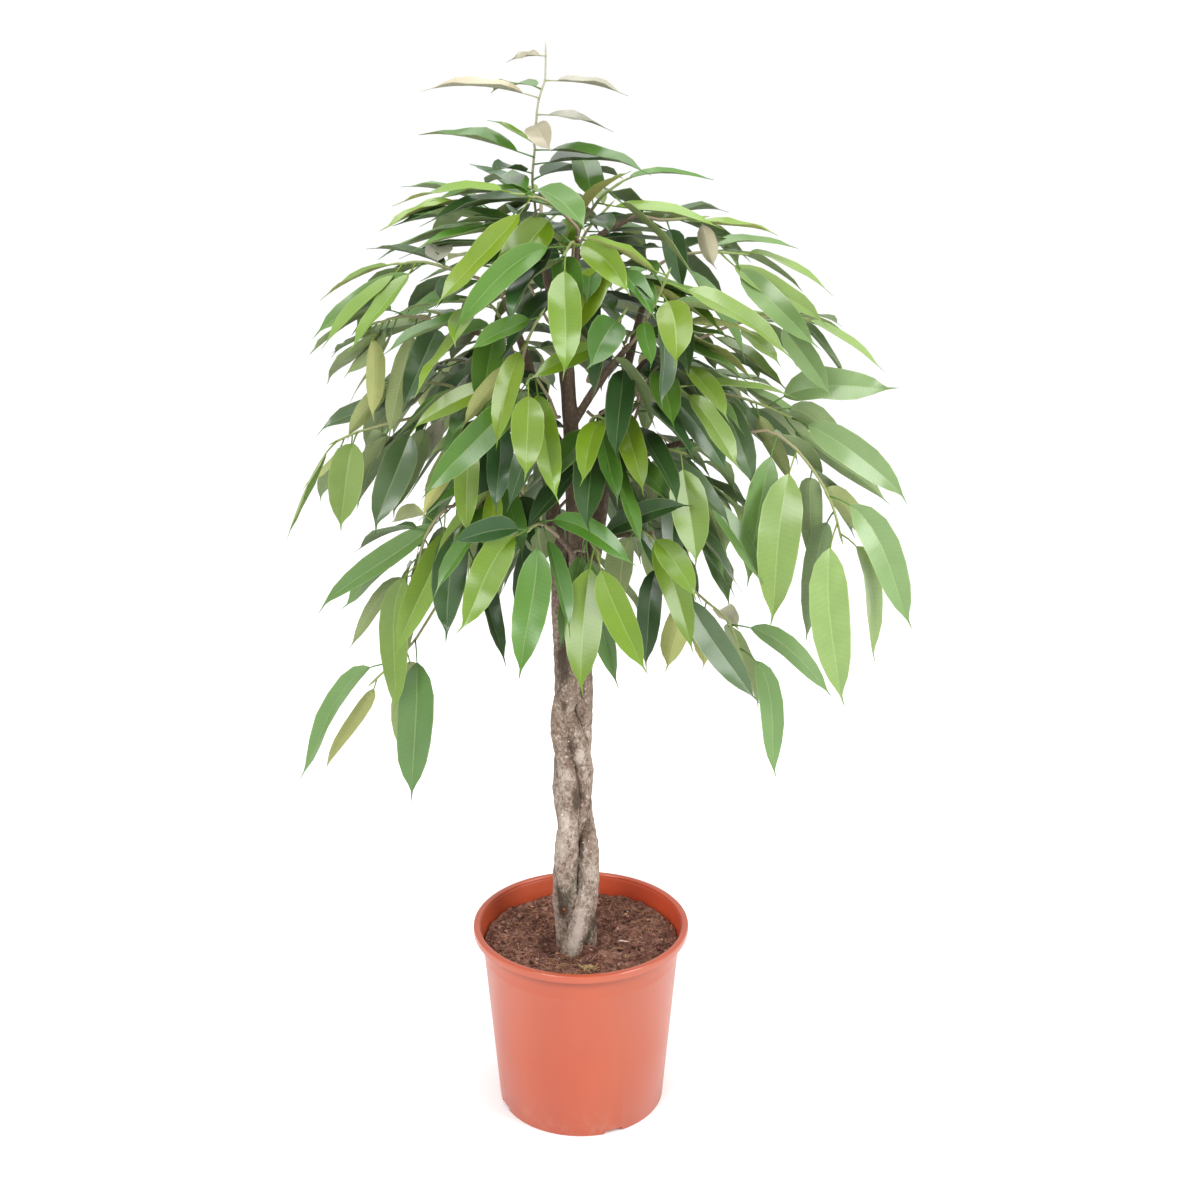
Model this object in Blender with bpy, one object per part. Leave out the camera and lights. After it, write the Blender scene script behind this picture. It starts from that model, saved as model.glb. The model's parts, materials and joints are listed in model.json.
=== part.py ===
"""A braided ficus in a nursery pot.

Four stems are plaited together, rooted in peat and bare up to a round crown. Each stem carries its limbs,
and each limb carries leafy shoots: a twig with its buds, petioles and long folded leaves.
Everything is in metres with +Z up. The origin is on the pot's axis, on the floor.
"""
import math
import random
from collections import namedtuple

import bmesh
import bpy
from mathutils import Matrix, Vector
from mathutils.bvhtree import BVHTree

CM = 0.01
UP = Vector((0, 0, 1))

# ---- driving dimensions ----
POT_HEIGHT = 0.245
POT_RIM_RADIUS = 0.135
POT_MOUTH_RADIUS = 0.1265
POT_TOP_RADIUS = 0.1245
POT_FOOT_RADIUS = 0.1046
POT_WALL = 0.0016
RIM_DROP = 0.0100
STEP_BELOW_RIM = 0.040
STEP_OUT = 0.0004
FLOOR_RAISE = 0.0055
FLOOR_TOP = 0.0075
FLOOR_PIT = 0.0045
PAD_RADIUS = 0.075
NOTCH_ANGLES = (-67, 23, 113, 203)
NOTCH_WIDTH = 0.028
DRAIN_HOLES = 8
DRAIN_RADIUS = 0.005
DRAIN_CIRCLE = 0.0875
DRAIN_SIDES = 10
POT_SEGMENTS = 36

SOIL_LEVEL = 0.2185
SOIL_DIP = 0.0045
SOIL_LUMP = 0.0022
SOIL_SEGMENTS = 26
GAP = 0.00035

STEM_RADIUS = 0.0140
STEM_TOP_RADIUS = 0.0118
STEM_GAP = 0.0010
BRAID_X = -0.0085
BRAID_FOOT = 0.19
BRAID_TOP = 0.60
TOP_RING = 1.10
ROOT_TIP = 0.09
ROOT_TIP_RADIUS = 0.005
ROOT_SPREAD = 1.6
STEM_SIDES = 9
ROOT_STEP = 0.034
BRAID_STEP = 0.0165
UPPER_STEP = 0.040

LIMB_SIDES = 6
LIMB_STEP = 0.030
TWIG_SIDES = 3
TWIG_RADIUS = 0.0024
TWIG_TIP_RADIUS = 0.0015
NODE_HALF = 0.0021
NECK = 0.012
NODE_SPACING = 0.0075
BUD_LENGTH = 0.010
LEAF_THICKNESS = 0.0009
# Along the leaf: the place, half the width and half the thickness, in metres at the petiole, then as parts.
LISTED_STATIONS = ((0.14, 0.0016, 0.0007), (0.42, 0.5, 0.5), (0.74, 0.35, 0.45))
PLAIN_STATIONS = ((0.14, 0.0016, 0.0007), (0.50, 0.5, 0.5))
LEAF_FOLD = math.radians(16)
FIRST_LEAF = 0.24
LAST_LEAF = 0.97
SPIRAL = math.radians(137.5)
CROWN_FOOT = 0.62
CROWN_HEIGHT = 0.55
LOW_DROOP = 72
HIGH_DROOP = 10
LEAF_LENGTHS = (0.105, 0.155)
LEAF_SLIMNESS = (0.23, 0.29)
DROOP_VARIATION = 14
LOWEST_LEAF = 0.12
CLOSEST_LEAVES = 0.035
PLACE_STEP = 0.017
CLEARANCE = 0.0005
SEAT = 0.0004
TWIG_TRIES = 80
LEAF_TRIES = 60
SEED = 11

# ---- the plait: each stem's way in cm, as x and y from the trunk's centre line and the height ----
PLAIT = {
    "stem_front": (
        (0.0, 1.2, 17), (0.1, 0.8, 22), (-0.4, -0.2, 27), (-0.9, -0.8, 32), (-0.8, -0.9, 37),
        (-0.3, -0.9, 42), (-0.7, -0.8, 47), (-1.4, -0.6, 51), (-0.9, -1.1, 55), (0.4, -1.2, 60)),
    "stem_right": (
        (-0.9, -2.0, 17), (-0.3, -1.8, 21), (0.8, -1.35, 25), (1.6, -0.75, 29), (1.75, 0.0, 34),
        (1.2, 0.9, 38), (0.7, 1.4, 42), (0.8, 1.1, 46), (0.9, 0.6, 49), (1.1, 0.1, 53), (1.2, 0.2, 60)),
    "stem_left": (
        (-0.6, 0.3, 17), (-0.9, 0.4, 22), (-1.35, 0.8, 27), (-1.1, 0.8, 32), (0.1, 0.3, 37),
        (0.9, -0.2, 42), (1.0, -0.6, 46), (0.3, -0.6, 50), (-0.7, 0.4, 55), (-1.0, 0.7, 60)),
    "stem_back": (
        (1.5, 0.7, 17), (1.5, 0.8, 22), (1.1, 1.3, 27), (0.3, 1.6, 32), (-0.7, 1.6, 37),
        (-1.1, 1.0, 42), (-0.9, 1.2, 47), (0.0, 1.6, 52), (0.3, 1.6, 56), (0.1, 1.6, 60)),
}
# ---- the stems above the plait: x, y, z and radius in cm ----
STEMS = {
    "stem_front": ((-0.2, -1.9, 70, 1.1), (-0.4, -2.6, 80, 0.95), (-0.8, -3.2, 90, 0.75),
        (-1.2, -4.2, 100, 0.5), (-1.4, -5.4, 107, 0.36)),
    "stem_right": ((0.9, 0.2, 66, 1.12), (1.7, 0.2, 74, 1.0), (3.4, -0.1, 84, 0.8), (5.4, -0.9, 95, 0.58),
        (7.6, -1.3, 104, 0.38)),
    "stem_left": ((-2.3, 0.9, 67, 1.1), (-2.9, 1.3, 76, 0.95), (-4.2, 1.8, 86, 0.78), (-5.8, 2.0, 95, 0.58),
        (-8.4, 1.6, 102.5, 0.38)),
    "stem_back": ((-0.6, 2.6, 69, 1.1), (-0.8, 3.2, 80, 0.95), (-1.4, 3.2, 91, 0.75), (-2.8, 2.0, 101, 0.52),
        (-4.6, 0.4, 110, 0.35)),
}

# ---- limbs: the stem each grows from, the height where it leaves, then its way in cm ----
LIMBS = {
    "low_left": ("stem_left", 73.5, ((-7.5, -1.5, 78.5), (-12.0, -4.0, 80.0))),
    "mid_left": ("stem_left", 83, ((-8.0, 2.4, 87.5), (-13.0, 2.0, 89.5))),
    "left_back": ("stem_left", 86, ((-7.0, 6.0, 90.5), (-10.5, 10.0, 92.0))),
    "left_front": ("stem_front", 84, ((-3.4, -5.6, 90.0), (-6.0, -8.8, 94.0))),
    "upper_left": ("stem_left", 93.5, ((-9.6, 0.6, 98.3), (-13.6, 0.0, 99.5))),
    "low_front": ("stem_front", 69.5, ((-0.8, -5.0, 74.6), (-2.2, -8.6, 77.6))),
    "low_right": ("stem_right", 73.5, ((4.2, -3.6, 76.2), (7.2, -4.6, 76.8))),
    "mid_right": ("stem_right", 79, ((5.4, -1.6, 84.0), (10.0, -2.0, 86.3), (13.0, -2.0, 87.0))),
    "right_back": ("stem_right", 82, ((5.2, 5.0, 88.0), (9.0, 9.0, 90.5))),
    "right_front": ("stem_front", 89, ((2.6, -5.6, 95.0), (5.6, -8.8, 99.3))),
    "upper_right": ("stem_right", 91.5, ((7.4, 0.0, 95.5), (12.0, 0.2, 97.6))),
    "low_back": ("stem_back", 75.5, ((0.2, 6.5, 80.0), (1.0, 11.0, 81.5))),
    "mid_back": ("stem_back", 91, ((-1.8, 7.2, 97.0), (-2.0, 11.0, 100.0))),
    "top_back": ("stem_back", 101.5, ((-4.2, 4.6, 107.0), (-4.4, 8.4, 109.5))),
    "top_right": ("stem_back", 101, ((-0.4, 0.4, 107.0), (2.6, -0.6, 110.0), (5.4, -1.0, 111.5))),
    "top_front": ("stem_front", 100, ((-0.4, -5.8, 106.0), (0.0, -8.0, 110.4))),
}
LIMB_RADIUS = 0.0058
LIMB_TIP_RADIUS = 0.0034

# Which way the upper face of a leaf looks.
FACES = {
    "u": (0.0, -0.2, 1.0),
    "t": (0.0, -0.8, 0.8),
    "f": (0.0, -1.0, 0.25),
    "l": (-0.75, -0.7, 0.3),
    "r": (0.75, -0.7, 0.3),
    "e": (1.0, -0.25, 0.3),
    "b": (0.15, 1.0, 0.25),
}

# A shoot's colour by the tone of its leaves, from palest to darkest.
TONES = ((0.42, 0.45, 0.24), (0.26, 0.42, 0.05), (0.09, 0.25, 0.04), (0.025, 0.10, 0.03))

# ---- leafy shoots ----
# name: limb or stem, place along it from 0 to 1, the twig's way in cm, number of unlisted leaves, and
# listed leaves: place along the twig, the leaf's tip in cm, width in cm, facing, tone (0 palest, 3 darkest).
SHOOTS = {
    "leader_shoot": ("stem_back", 1.0, ((-5.0, 0.2, 115.5), (-4.7, 0, 119), (-4.3, 0, 123.9),
        (-3.5, 0, 126.2), (-3.4, 0, 129.3)), 2, ((0.33, -9.2, -6, 117.3, 2.6, "u", 3),
        (0.38, 6.0, 3, 117.0, 3.8, "u", 3), (0.42, -17.0, 2, 120.4, 3.4, "u", 2),
        (0.45, 7.4, -3, 116.7, 3.2, "u", 2), (0.49, -9.4, 1, 121.9, 1.3, "u", 1),
        (0.60, -3.0, -6, 119.4, 2.8, "f", 0), (0.65, 3.4, 0, 121.0, 2.4, "u", 0),
        (0.74, -16.4, 0, 125.2, 2.6, "u", 0), (0.84, 4.9, -1, 124.8, 2.2, "u", 0),
        (0.97, -7.2, 0, 128.3, 2.4, "u", 0))),
    "crown_front": ("top_front", 1.0, ((-3.0, -8.5, 114.4), (-6.2, -10.5, 115.4)), 3,
        ((0.55, -8.6, -17, 105.6, 4.4, "f", 1), (0.66, -16.2, 0, 113.4, 3.2, "u", 2),
        (0.76, -16.4, -7, 111.8, 3.4, "u", 3), (0.85, -14.6, -13, 104.3, 3.7, "l", 1),
        (0.91, 1.0, -19, 113.0, 4.0, "u", 2), (0.97, -19.4, -4, 113.6, 3.0, "u", 1))),
    "crown_right": ("top_right", 0.55, ((2.2, -2.6, 113.8), (4.6, -3.4, 115.8)), 3,
        ((0.35, 5.4, -8, 117.4, 2.6, "u", 1), (0.5, 3.6, -12, 111.6, 2.8, "t", 3),
        (0.66, 15.2, -5, 111.2, 3.4, "u", 1), (0.82, 13.6, -9, 106.6, 3.2, "r", 2),
        (0.97, 14.8, 3, 115.4, 1.8, "u", 2))),
    "right_crest": ("top_right", 1.0, ((9.0, 0.0, 111.4), (13.6, 1.0, 111.6)), 4,
        ((0.5, 11.4, -6, 104.6, 3.0, "f", 3), (0.84, 21.7, 1, 109.8, 1.9, "u", 1),
        (0.97, 15.4, -3, 107.2, 2.4, "b", 0))),
    "front_high": ("top_front", 0.7, ((-0.4, -10, 110.4), (-1.2, -17, 110.2)), 3,
        ((0.4, -9.5, -12, 106.4, 3.5, "u", 3), (0.66, 5.3, -19, 106.6, 3.4, "f", 1),
        (0.78, -12.6, -18, 102.6, 3.2, "f", 2), (0.93, -1.2, -21.5, 98.6, 3.8, "f", 1))),
    "front_right_high": ("right_front", 1.0, ((8.0, -12, 104.0), (9.4, -15.5, 108.0)), 3,
        ((0.35, 7.8, -16, 98.4, 2.0, "f", 2), (0.5, 8.6, -15, 94.6, 3.2, "r", 3),
        (0.72, 10.2, -20.5, 99.6, 3.8, "f", 1), (0.86, 22.8, -9, 98.0, 3.0, "t", 1),
        (0.97, -0.6, -17.5, 110.4, 2.7, "u", 1))),
    "front_mid_right": ("right_front", 0.5, ((3.0, -9, 99.5), (5.0, -13, 103.6)), 4,
        ((0.5, -4.8, -16, 97.0, 2.4, "f", 1), (0.74, 1.8, -17, 95.6, 3.0, "l", 3),
        (0.95, 1.4, -20, 99.0, 4.0, "f", 2))),
    "front_mid_left": ("left_front", 1.0, ((-5.2, -12, 100.6), (-3.6, -14.8, 103.8)), 3,
        ((0.2, -18.0, -11, 90.5, 2.6, "l", 1), (0.38, -12.2, -15, 91.6, 2.2, "b", 1),
        (0.58, -8.4, -18, 90.4, 3.0, "f", 1), (0.95, -11.0, -17, 100.4, 2.6, "t", 2))),
    "front_centre": ("left_front", 0.6, ((-4.6, -11, 96.4), (-5.2, -16.5, 96.8)), 3,
        ((0.3, -7.4, -15, 82.6, 2.9, "f", 3), (0.58, -2.2, -19, 84.6, 3.4, "f", 1),
        (0.78, -16.2, -18, 84.8, 3.5, "f", 2), (0.93, -5.2, -21, 87.8, 3.7, "f", 1))),
    "front_left": ("left_front", 0.3, ((-8.0, -6, 91.2), (-11.5, -11, 90.6)), 3,
        ((0.55, -16.6, -8, 86.6, 2.0, "b", 2), (0.72, -8.8, -15, 82.4, 3.0, "f", 3),
        (0.84, -17.2, -12, 80.6, 2.2, "b", 1), (0.96, -12.0, -15, 79.6, 2.9, "f", 1))),
    "left_high": ("stem_left", 1.0, ((-13, 0, 105.6), (-17, 0, 106.8), (-20.4, 0, 106.6)), 4,
        ((0.45, -14.6, -9, 103.6, 3.4, "u", 3), (0.66, -16.0, 8, 107.6, 3.2, "u", 0),
        (0.76, -29.2, -3, 99.2, 3.1, "t", 2), (0.84, -24.0, -8, 98.2, 2.6, "u", 1),
        (0.92, -27.4, -5, 97.4, 2.6, "l", 1), (0.98, -28.8, 2, 102.5, 1.8, "u", 1))),
    "left_upper": ("upper_left", 1.0, ((-19, -1, 101), (-23.4, -1, 100)), 3,
        ((0.12, -19.2, -9, 92.2, 3.7, "f", 3), (0.45, -21.0, -6, 88.4, 3.0, "b", 2),
        (0.68, -26.2, 3, 90.6, 2.2, "e", 2), (0.8, -27.2, 6, 92.6, 2.8, "e", 2),
        (0.9, -28.0, 2, 96.0, 2.8, "u", 3), (0.97, -22.8, -6, 90.4, 2.7, "b", 1))),
    "left_reach": ("mid_left", 0.72, ((-15, 4, 92), (-22, 4, 92.6)), 4, (
        (0.7, -30.4, 3, 86.8, 2.8, "t", 3), (0.96, -26.6, 0, 86.8, 2.4, "b", 1))),
    "left_long": ("mid_left", 1.0, ((-17, 0, 89.6), (-21.4, -1, 88.8), (-25, -1, 87.8), (-28, 0, 86.3)), 3,
        ((0.1, -20.8, 5, 79.8, 2.4, "b", 0), (0.28, -22.0, 2, 76.8, 3.4, "b", 2),
        (0.38, -23.2, -6, 77.6, 4.1, "f", 3), (0.62, -25.0, 6, 82.4, 2.4, "b", 2),
        (0.8, -27.2, -5, 77.4, 4.2, "f", 1), (0.92, -32.3, 3, 80.0, 2.0, "e", 1),
        (0.98, -33.8, -1, 75.4, 1.8, "e", 1))),
    "left_low": ("low_left", 1.0, ((-15, -5.5, 80), (-17.5, -6, 76.5), (-18.5, -6, 71.5)), 3,
        ((0.06, -14.6, -13, 67.0, 4.2, "f", 3), (0.17, -29.8, -7, 68.4, 3.3, "t", 2),
        (0.28, -20.6, -10, 63.8, 3.9, "f", 1), (0.4, -22.2, 4, 75.4, 2.2, "b", 1),
        (0.52, -22.6, -1, 70.4, 3.0, "e", 3), (0.64, -27.6, -2, 66.8, 3.1, "t", 2),
        (0.82, -20.8, -9, 57.6, 3.7, "f", 1), (0.94, -26.6, -3, 62.6, 1.9, "b", 2))),
    "left_lowest": ("low_left", 0.8, ((-13, -1.5, 74), (-16.5, -1, 67), (-20, -1.5, 62),
        (-24.6, -1.5, 57.4)), 2, ((0.22, -8.4, -9, 62.6, 3.1, "r", 3), (0.72, -20.1, -5, 43.6, 4.7, "f", 2),
        (0.88, -33.9, -2, 45.0, 3.1, "l", 2), (0.98, -31.5, 2, 44.2, 2.0, "b", 1))),
    "front_low_left": ("low_front", 1.0, ((-4.2, -12, 80.2), (-5.2, -16, 80.6)), 2,
        ((0.4, -0.8, -17, 69.2, 2.8, "r", 2), (0.56, 6.0, -19, 77.6, 2.8, "t", 2),
        (0.72, -6.2, -19, 64.8, 4.1, "f", 2), (0.86, -12.6, -20, 70.4, 4.1, "f", 1),
        (0.97, -13.2, -17, 79.6, 3.1, "t", 3))),
    "front_low_mid": ("low_front", 0.6, ((0.8, -9, 77.8), (2.2, -13.5, 77.4)), 2,
        ((0.4, -2.0, -12, 65.6, 3.1, "f", 2), (0.56, 3.8, -11, 59.8, 3.1, "f", 2),
        (0.72, 12.0, -15, 83.2, 3.0, "t", 3), (0.86, 0.3, -18.5, 62.8, 4.4, "f", 1),
        (0.97, 7.3, -17.5, 64.8, 3.7, "f", 1))),
    "front_low_right": ("low_right", 0.6, ((5.6, -8, 79.2), (7.4, -13, 79.4)), 2,
        ((0.5, 11.8, -8, 68.6, 3.0, "r", 3), (0.84, 12.6, -16, 66.6, 3.2, "f", 1),
        (0.96, 12.8, -18, 73.6, 3.1, "t", 1))),
    "right_low": ("low_right", 1.0, ((10, -5, 73.5), (14, -4, 69), (17.4, -3, 65.6), (18.9, -3, 61.6)), 2,
        ((0.2, 7.4, -10, 62.4, 2.9, "f", 3), (0.4, 20.4, -8, 57.4, 3.9, "f", 3),
        (0.5, 10.0, -11, 62.6, 3.5, "b", 1), (0.6, 14.8, -2, 59.4, 2.6, "b", 1),
        (0.7, 19.0, 3, 62.4, 2.8, "b", 0), (0.82, 29.9, -2, 55.8, 2.9, "t", 2),
        (0.97, 23.4, -4, 46.0, 2.9, "f", 2))),
    "right_inner": ("mid_right", 0.7, ((12, -5, 84.6), (13.6, -7.5, 82.4)), 3, (
        (0.55, 10.2, -13, 74.0, 3.0, "f", 3), (0.95, 21.4, -9, 71.2, 3.2, "r", 2))),
    "front_right": ("mid_right", 0.45, ((8.6, -7, 87.4), (11.4, -11.5, 88)), 3, (
        (0.6, 16.8, -10, 79.6, 3.2, "r", 3), (0.96, 12.3, -16.5, 75.9, 4.4, "f", 1))),
    "right_middle_front": ("right_front", 0.2, ((6.4, -7, 94.0), (11, -10, 95)), 2,
        ((0.22, 4.8, -12, 84.0, 3.5, "f", 3), (0.38, 7.0, -15, 84.4, 3.1, "f", 0),
        (0.76, 16.6, -8, 84.6, 3.2, "f", 3), (0.88, 23.6, -6, 93.0, 2.2, "u", 1),
        (0.97, 17.4, -12, 86.2, 3.4, "r", 1))),
    "right_long": ("mid_right", 1.0, ((18, -3, 88.6), (22.5, -3.5, 88), (26, -3.5, 84.6), (28.6, -3.5, 80.4),
        (30, -3.5, 76)), 2, ((0.4, 19.2, -6, 71.0, 3.7, "f", 2), (0.52, 21.8, -10, 67.6, 5.0, "f", 1),
        (0.64, 27.6, 2, 70.4, 3.3, "b", 2), (0.72, 35.0, 2, 73.0, 2.8, "b", 1),
        (0.79, 38.4, -5, 65.5, 4.3, "f", 2), (0.87, 27.0, 1, 61.6, 3.2, "b", 3),
        (0.93, 30.3, -8, 57.0, 4.7, "f", 1), (0.985, 34.6, -3, 60.6, 3.7, "r", 1))),
    "right_reach": ("upper_right", 0.5, ((13, 1.4, 92.4), (19, 0.6, 91.2), (24.6, 0, 89)), 2,
        ((0.5, 19.6, -6, 82.6, 3.3, "f", 3), (0.64, 26.0, 6, 82.4, 2.9, "f", 3),
        (0.74, 24.6, 2, 80.6, 2.2, "b", 1), (0.82, 35.3, -3, 93.0, 4.5, "t", 2),
        (0.88, 31.8, 4, 83.6, 3.2, "b", 2), (0.93, 36.4, 4, 77.6, 2.9, "b", 2),
        (0.98, 37.5, -3, 80.2, 3.9, "f", 2))),
    "right_upper": ("upper_right", 1.0, ((17, 1, 99.5), (21.5, 1, 100.6), (25, 0.5, 100.5)), 3,
        ((0.45, 22.0, -6, 96.6, 2.3, "u", 1), (0.66, 25.0, 6, 94.2, 2.6, "u", 2),
        (0.8, 27.8, -5, 92.8, 3.0, "f", 2), (0.9, 30.4, 1, 93.4, 2.6, "e", 3),
        (0.98, 34.4, 1, 94.5, 2.4, "u", 1))),
    "right_high": ("stem_right", 1.0, ((10, -1, 107.4), (14, -0.5, 108), (18, 0, 107.7)), 2,
        ((0.25, 12.2, -9, 95.6, 2.9, "f", 3), (0.45, 18.2, -8, 97.6, 3.0, "r", 2),
        (0.7, 24.2, 3, 108.0, 2.5, "u", 2), (0.8, 27.2, -3, 100.4, 3.1, "t", 1),
        (0.9, 26.0, -7, 98.4, 3.1, "f", 2), (0.98, 28.2, 2, 103.2, 2.4, "u", 1))),
    "inner_centre": ("stem_front", 0.5, ((1.4, -7, 90.6), (3.4, -10.4, 91.4)), 11, ()),
    "inner_high": ("top_right", 0.25, ((2.6, -4.4, 106.6), (5.2, -8.4, 107.4)), 11, ()),
    "inner_mid_left": ("stem_left", 0.55, ((-8, -1.6, 91.2), (-11, -4.4, 93.4)), 11, ()),
    "inner_mid_right": ("stem_right", 0.62, ((8.4, -3.4, 95.4), (12.2, -5, 97)), 11, ()),
    "inner_left": ("stem_left", 0.78, ((-9, -5, 102.4), (-12, -8, 104)), 10, ()),
    "inner_front": ("stem_front", 1.0, ((-2.4, -6.8, 110.4), (-5.0, -9, 112)), 10, ()),
    "inner_right": ("stem_right", 0.74, ((5.4, -5.6, 99.6), (10.6, -8, 101.4)), 11, ()),
    "inner_low_left": ("low_left", 0.5, ((-7.6, -5, 83), (-9.4, -9.4, 85)), 9, ()),
    "inner_low_right": ("low_right", 0.9, ((8.6, -1, 79), (12.4, 1.6, 80)), 9, ()),
    "left_back_long": ("left_back", 1.0, ((-15, 14, 93), (-19.5, 17.5, 91)), 9, ()),
    "left_back_high": ("left_back", 0.75, ((-12, 9.6, 97.6), (-18, 11, 99.5)), 9, ()),
    "left_back_low": ("left_back", 0.55, ((-11, 8.4, 86), (-16, 10.4, 80)), 9, ()),
    "left_back_inner": ("left_back", 0.85, ((-8.6, 15, 95), (-8.4, 20, 94.4)), 9, ()),
    "back_low_long": ("low_back", 1.0, ((2.4, 16, 81.6), (4, 21.4, 79)), 9, ()),
    "back_low_left": ("low_back", 0.75, ((-5, 13, 81), (-9.6, 18, 77.4)), 9, ()),
    "back_low_right": ("low_back", 0.6, ((6.6, 12, 79.6), (12, 16.4, 75.4)), 9, ()),
    "back_lowest": ("low_back", 0.35, ((-3.6, 6.4, 75.4), (-7.6, 10, 70)), 8, ()),
    "back_mid_long": ("mid_back", 1.0, ((-2.4, 16, 103), (-3, 21.4, 102)), 9, ()),
    "back_mid_left": ("mid_back", 0.75, ((-7, 12.6, 103.4), (-11.6, 16, 104)), 9, ()),
    "back_mid_right": ("mid_back", 0.6, ((4, 12, 101.4), (8.8, 16, 102.4)), 9, ()),
    "right_back_long": ("right_back", 1.0, ((14, 13, 92), (19.4, 16.4, 90.4)), 9, ()),
    "right_back_high": ("right_back", 0.75, ((12, 9.2, 96.4), (18, 10.4, 98.6)), 9, ()),
    "right_back_low": ("right_back", 0.5, ((10.4, 8, 84.6), (15.6, 9.4, 78.6)), 9, ()),
    "right_back_inner": ("right_back", 0.85, ((9, 15, 93), (9.6, 20.4, 91.6)), 9, ()),
    "top_back_long": ("top_back", 1.0, ((-4.4, 12.4, 112.4), (-4, 16.4, 113)), 8, ()),
    "top_back_left": ("top_back", 0.6, ((-8, 7.4, 110.6), (-12.4, 8.6, 112)), 8, ()),
    "top_back_right": ("top_right", 0.3, ((0.8, 5, 109.4), (3.6, 9, 112)), 8, ()),
}

Leaf = namedtuple("Leaf", "place tip width face tone listed")
Twig = namedtuple("Twig", "name frames stops places leaves bud")


# ---- curves ----
def smooth_path(points, step):
    """Points every step along a smooth curve through the given ones."""
    ends = [2 * points[0] - points[1], *points, 2 * points[-1] - points[-2]]
    path = []
    for a, b, c, d in zip(ends, ends[1:], ends[2:], ends[3:]):
        parts = max(1, round((c - b).length / step))
        for i in range(parts):
            t = i / parts
            bend = (2 * a - 5 * b + 4 * c - d) * t**2 + (3 * (b - c) + d - a) * t**3
            path.append(0.5 * (2 * b + (c - a) * t + bend))
    return [*path, points[-1].copy()]


def along(path, place):
    """The point and direction at a place from 0 to 1 along a path."""
    lengths = [(b - a).length for a, b in zip(path, path[1:])]
    left = place * sum(lengths)
    for a, b, length in zip(path, path[1:], lengths):
        if left <= length + 1e-9:
            break
        left -= length
    way = (b - a).normalized()
    return a + way * left, way


def turned_frames(path):
    """A side vector at each point of a path that never twists about it."""
    ways = [(b - a).normalized() for a, b in zip(path, path[1:])]
    ways = [ways[0]] + [(a + b).normalized() for a, b in zip(ways, ways[1:])] + [ways[-1]]
    side = ways[0].orthogonal().normalized()
    frames = []
    for point, way in zip(path, ways):
        side = (side - way * side.dot(way)).normalized()
        frames.append((point, side, way.cross(side)))
    return frames


# ---- meshes ----
def new_object(name, verts, faces, material):
    mesh = bpy.data.meshes.new(name)
    mesh.from_pydata([tuple(v) for v in verts], [], faces)
    mesh.validate()
    mesh.materials.append(material)
    obj = bpy.data.objects.new(name, mesh)
    bpy.context.scene.collection.objects.link(obj)
    return obj


def material(name, color, roughness):
    mat = bpy.data.materials.new(name)
    mat.use_nodes = True
    shader = mat.node_tree.nodes["Principled BSDF"]
    shader.inputs["Base Color"].default_value = (*color, 1)
    shader.inputs["Roughness"].default_value = roughness
    mat.diffuse_color = (*color, 1)
    return mat


def boolean(obj, other, operation):
    modifier = obj.modifiers.new(operation.lower(), "BOOLEAN")
    modifier.operation = operation
    modifier.solver = "EXACT"
    modifier.object = other
    other.hide_render = True
    other.display_type = "WIRE"


def settle(obj, *spent):
    """Applies an object's modifiers and removes the objects they used."""
    graph = bpy.context.evaluated_depsgraph_get()
    mesh = bpy.data.meshes.new_from_object(obj.evaluated_get(graph))
    obj.modifiers.clear()
    obj.data = mesh
    for other in spent:
        bpy.data.objects.remove(other)


def ring_tube(rings):
    """Verts and faces of a closed tube through rings of equal length."""
    sides = len(rings[0])
    verts = [v for ring in rings for v in ring]
    faces = [tuple(reversed(range(sides)))]
    for start in range(0, len(verts) - sides, sides):
        for i in range(sides):
            j = (i + 1) % sides
            faces.append((start + i, start + j, start + sides + j))
            faces.append((start + i, start + sides + j, start + sides + i))
    faces.append(tuple(range(len(verts) - sides, len(verts))))
    return verts, faces


def tube(path, start_radius, end_radius, sides, grow=0.0):
    rings = []
    for i, (point, side, across) in enumerate(turned_frames(path)):
        radius = start_radius + (end_radius - start_radius) * i / (len(path) - 1) + grow
        turns = [math.tau * k / sides for k in range(sides)]
        rings.append([point + radius * (math.cos(a) * side + math.sin(a) * across) for a in turns])
    return ring_tube(rings)


def turned(name, profile, segments, mat):
    """A closed outline of radius and height, turned about the Z axis."""
    shape = bmesh.new()
    points = [shape.verts.new((r, 0, z)) for r, z in profile]
    edges = [shape.edges.new(pair) for pair in zip(points, points[1:])]
    bmesh.ops.spin(shape, geom=points + edges, cent=(0, 0, 0), axis=(0, 0, 1), angle=math.tau, steps=segments)
    bmesh.ops.remove_doubles(shape, verts=shape.verts, dist=1e-5)
    bmesh.ops.recalc_face_normals(shape, faces=shape.faces)
    mesh = bpy.data.meshes.new(name)
    shape.to_mesh(mesh)
    shape.free()
    mesh.materials.append(mat)
    mesh.shade_smooth()
    mesh.set_sharp_from_angle(angle=math.radians(35))
    obj = bpy.data.objects.new(name, mesh)
    bpy.context.scene.collection.objects.link(obj)
    return obj


# ---- pot and soil ----
def wall_radius(z):
    """The outside of the pot's straight tapered wall."""
    slope = (POT_TOP_RADIUS - POT_FOOT_RADIUS) / (POT_HEIGHT - RIM_DROP)
    return POT_FOOT_RADIUS + slope * z


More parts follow.
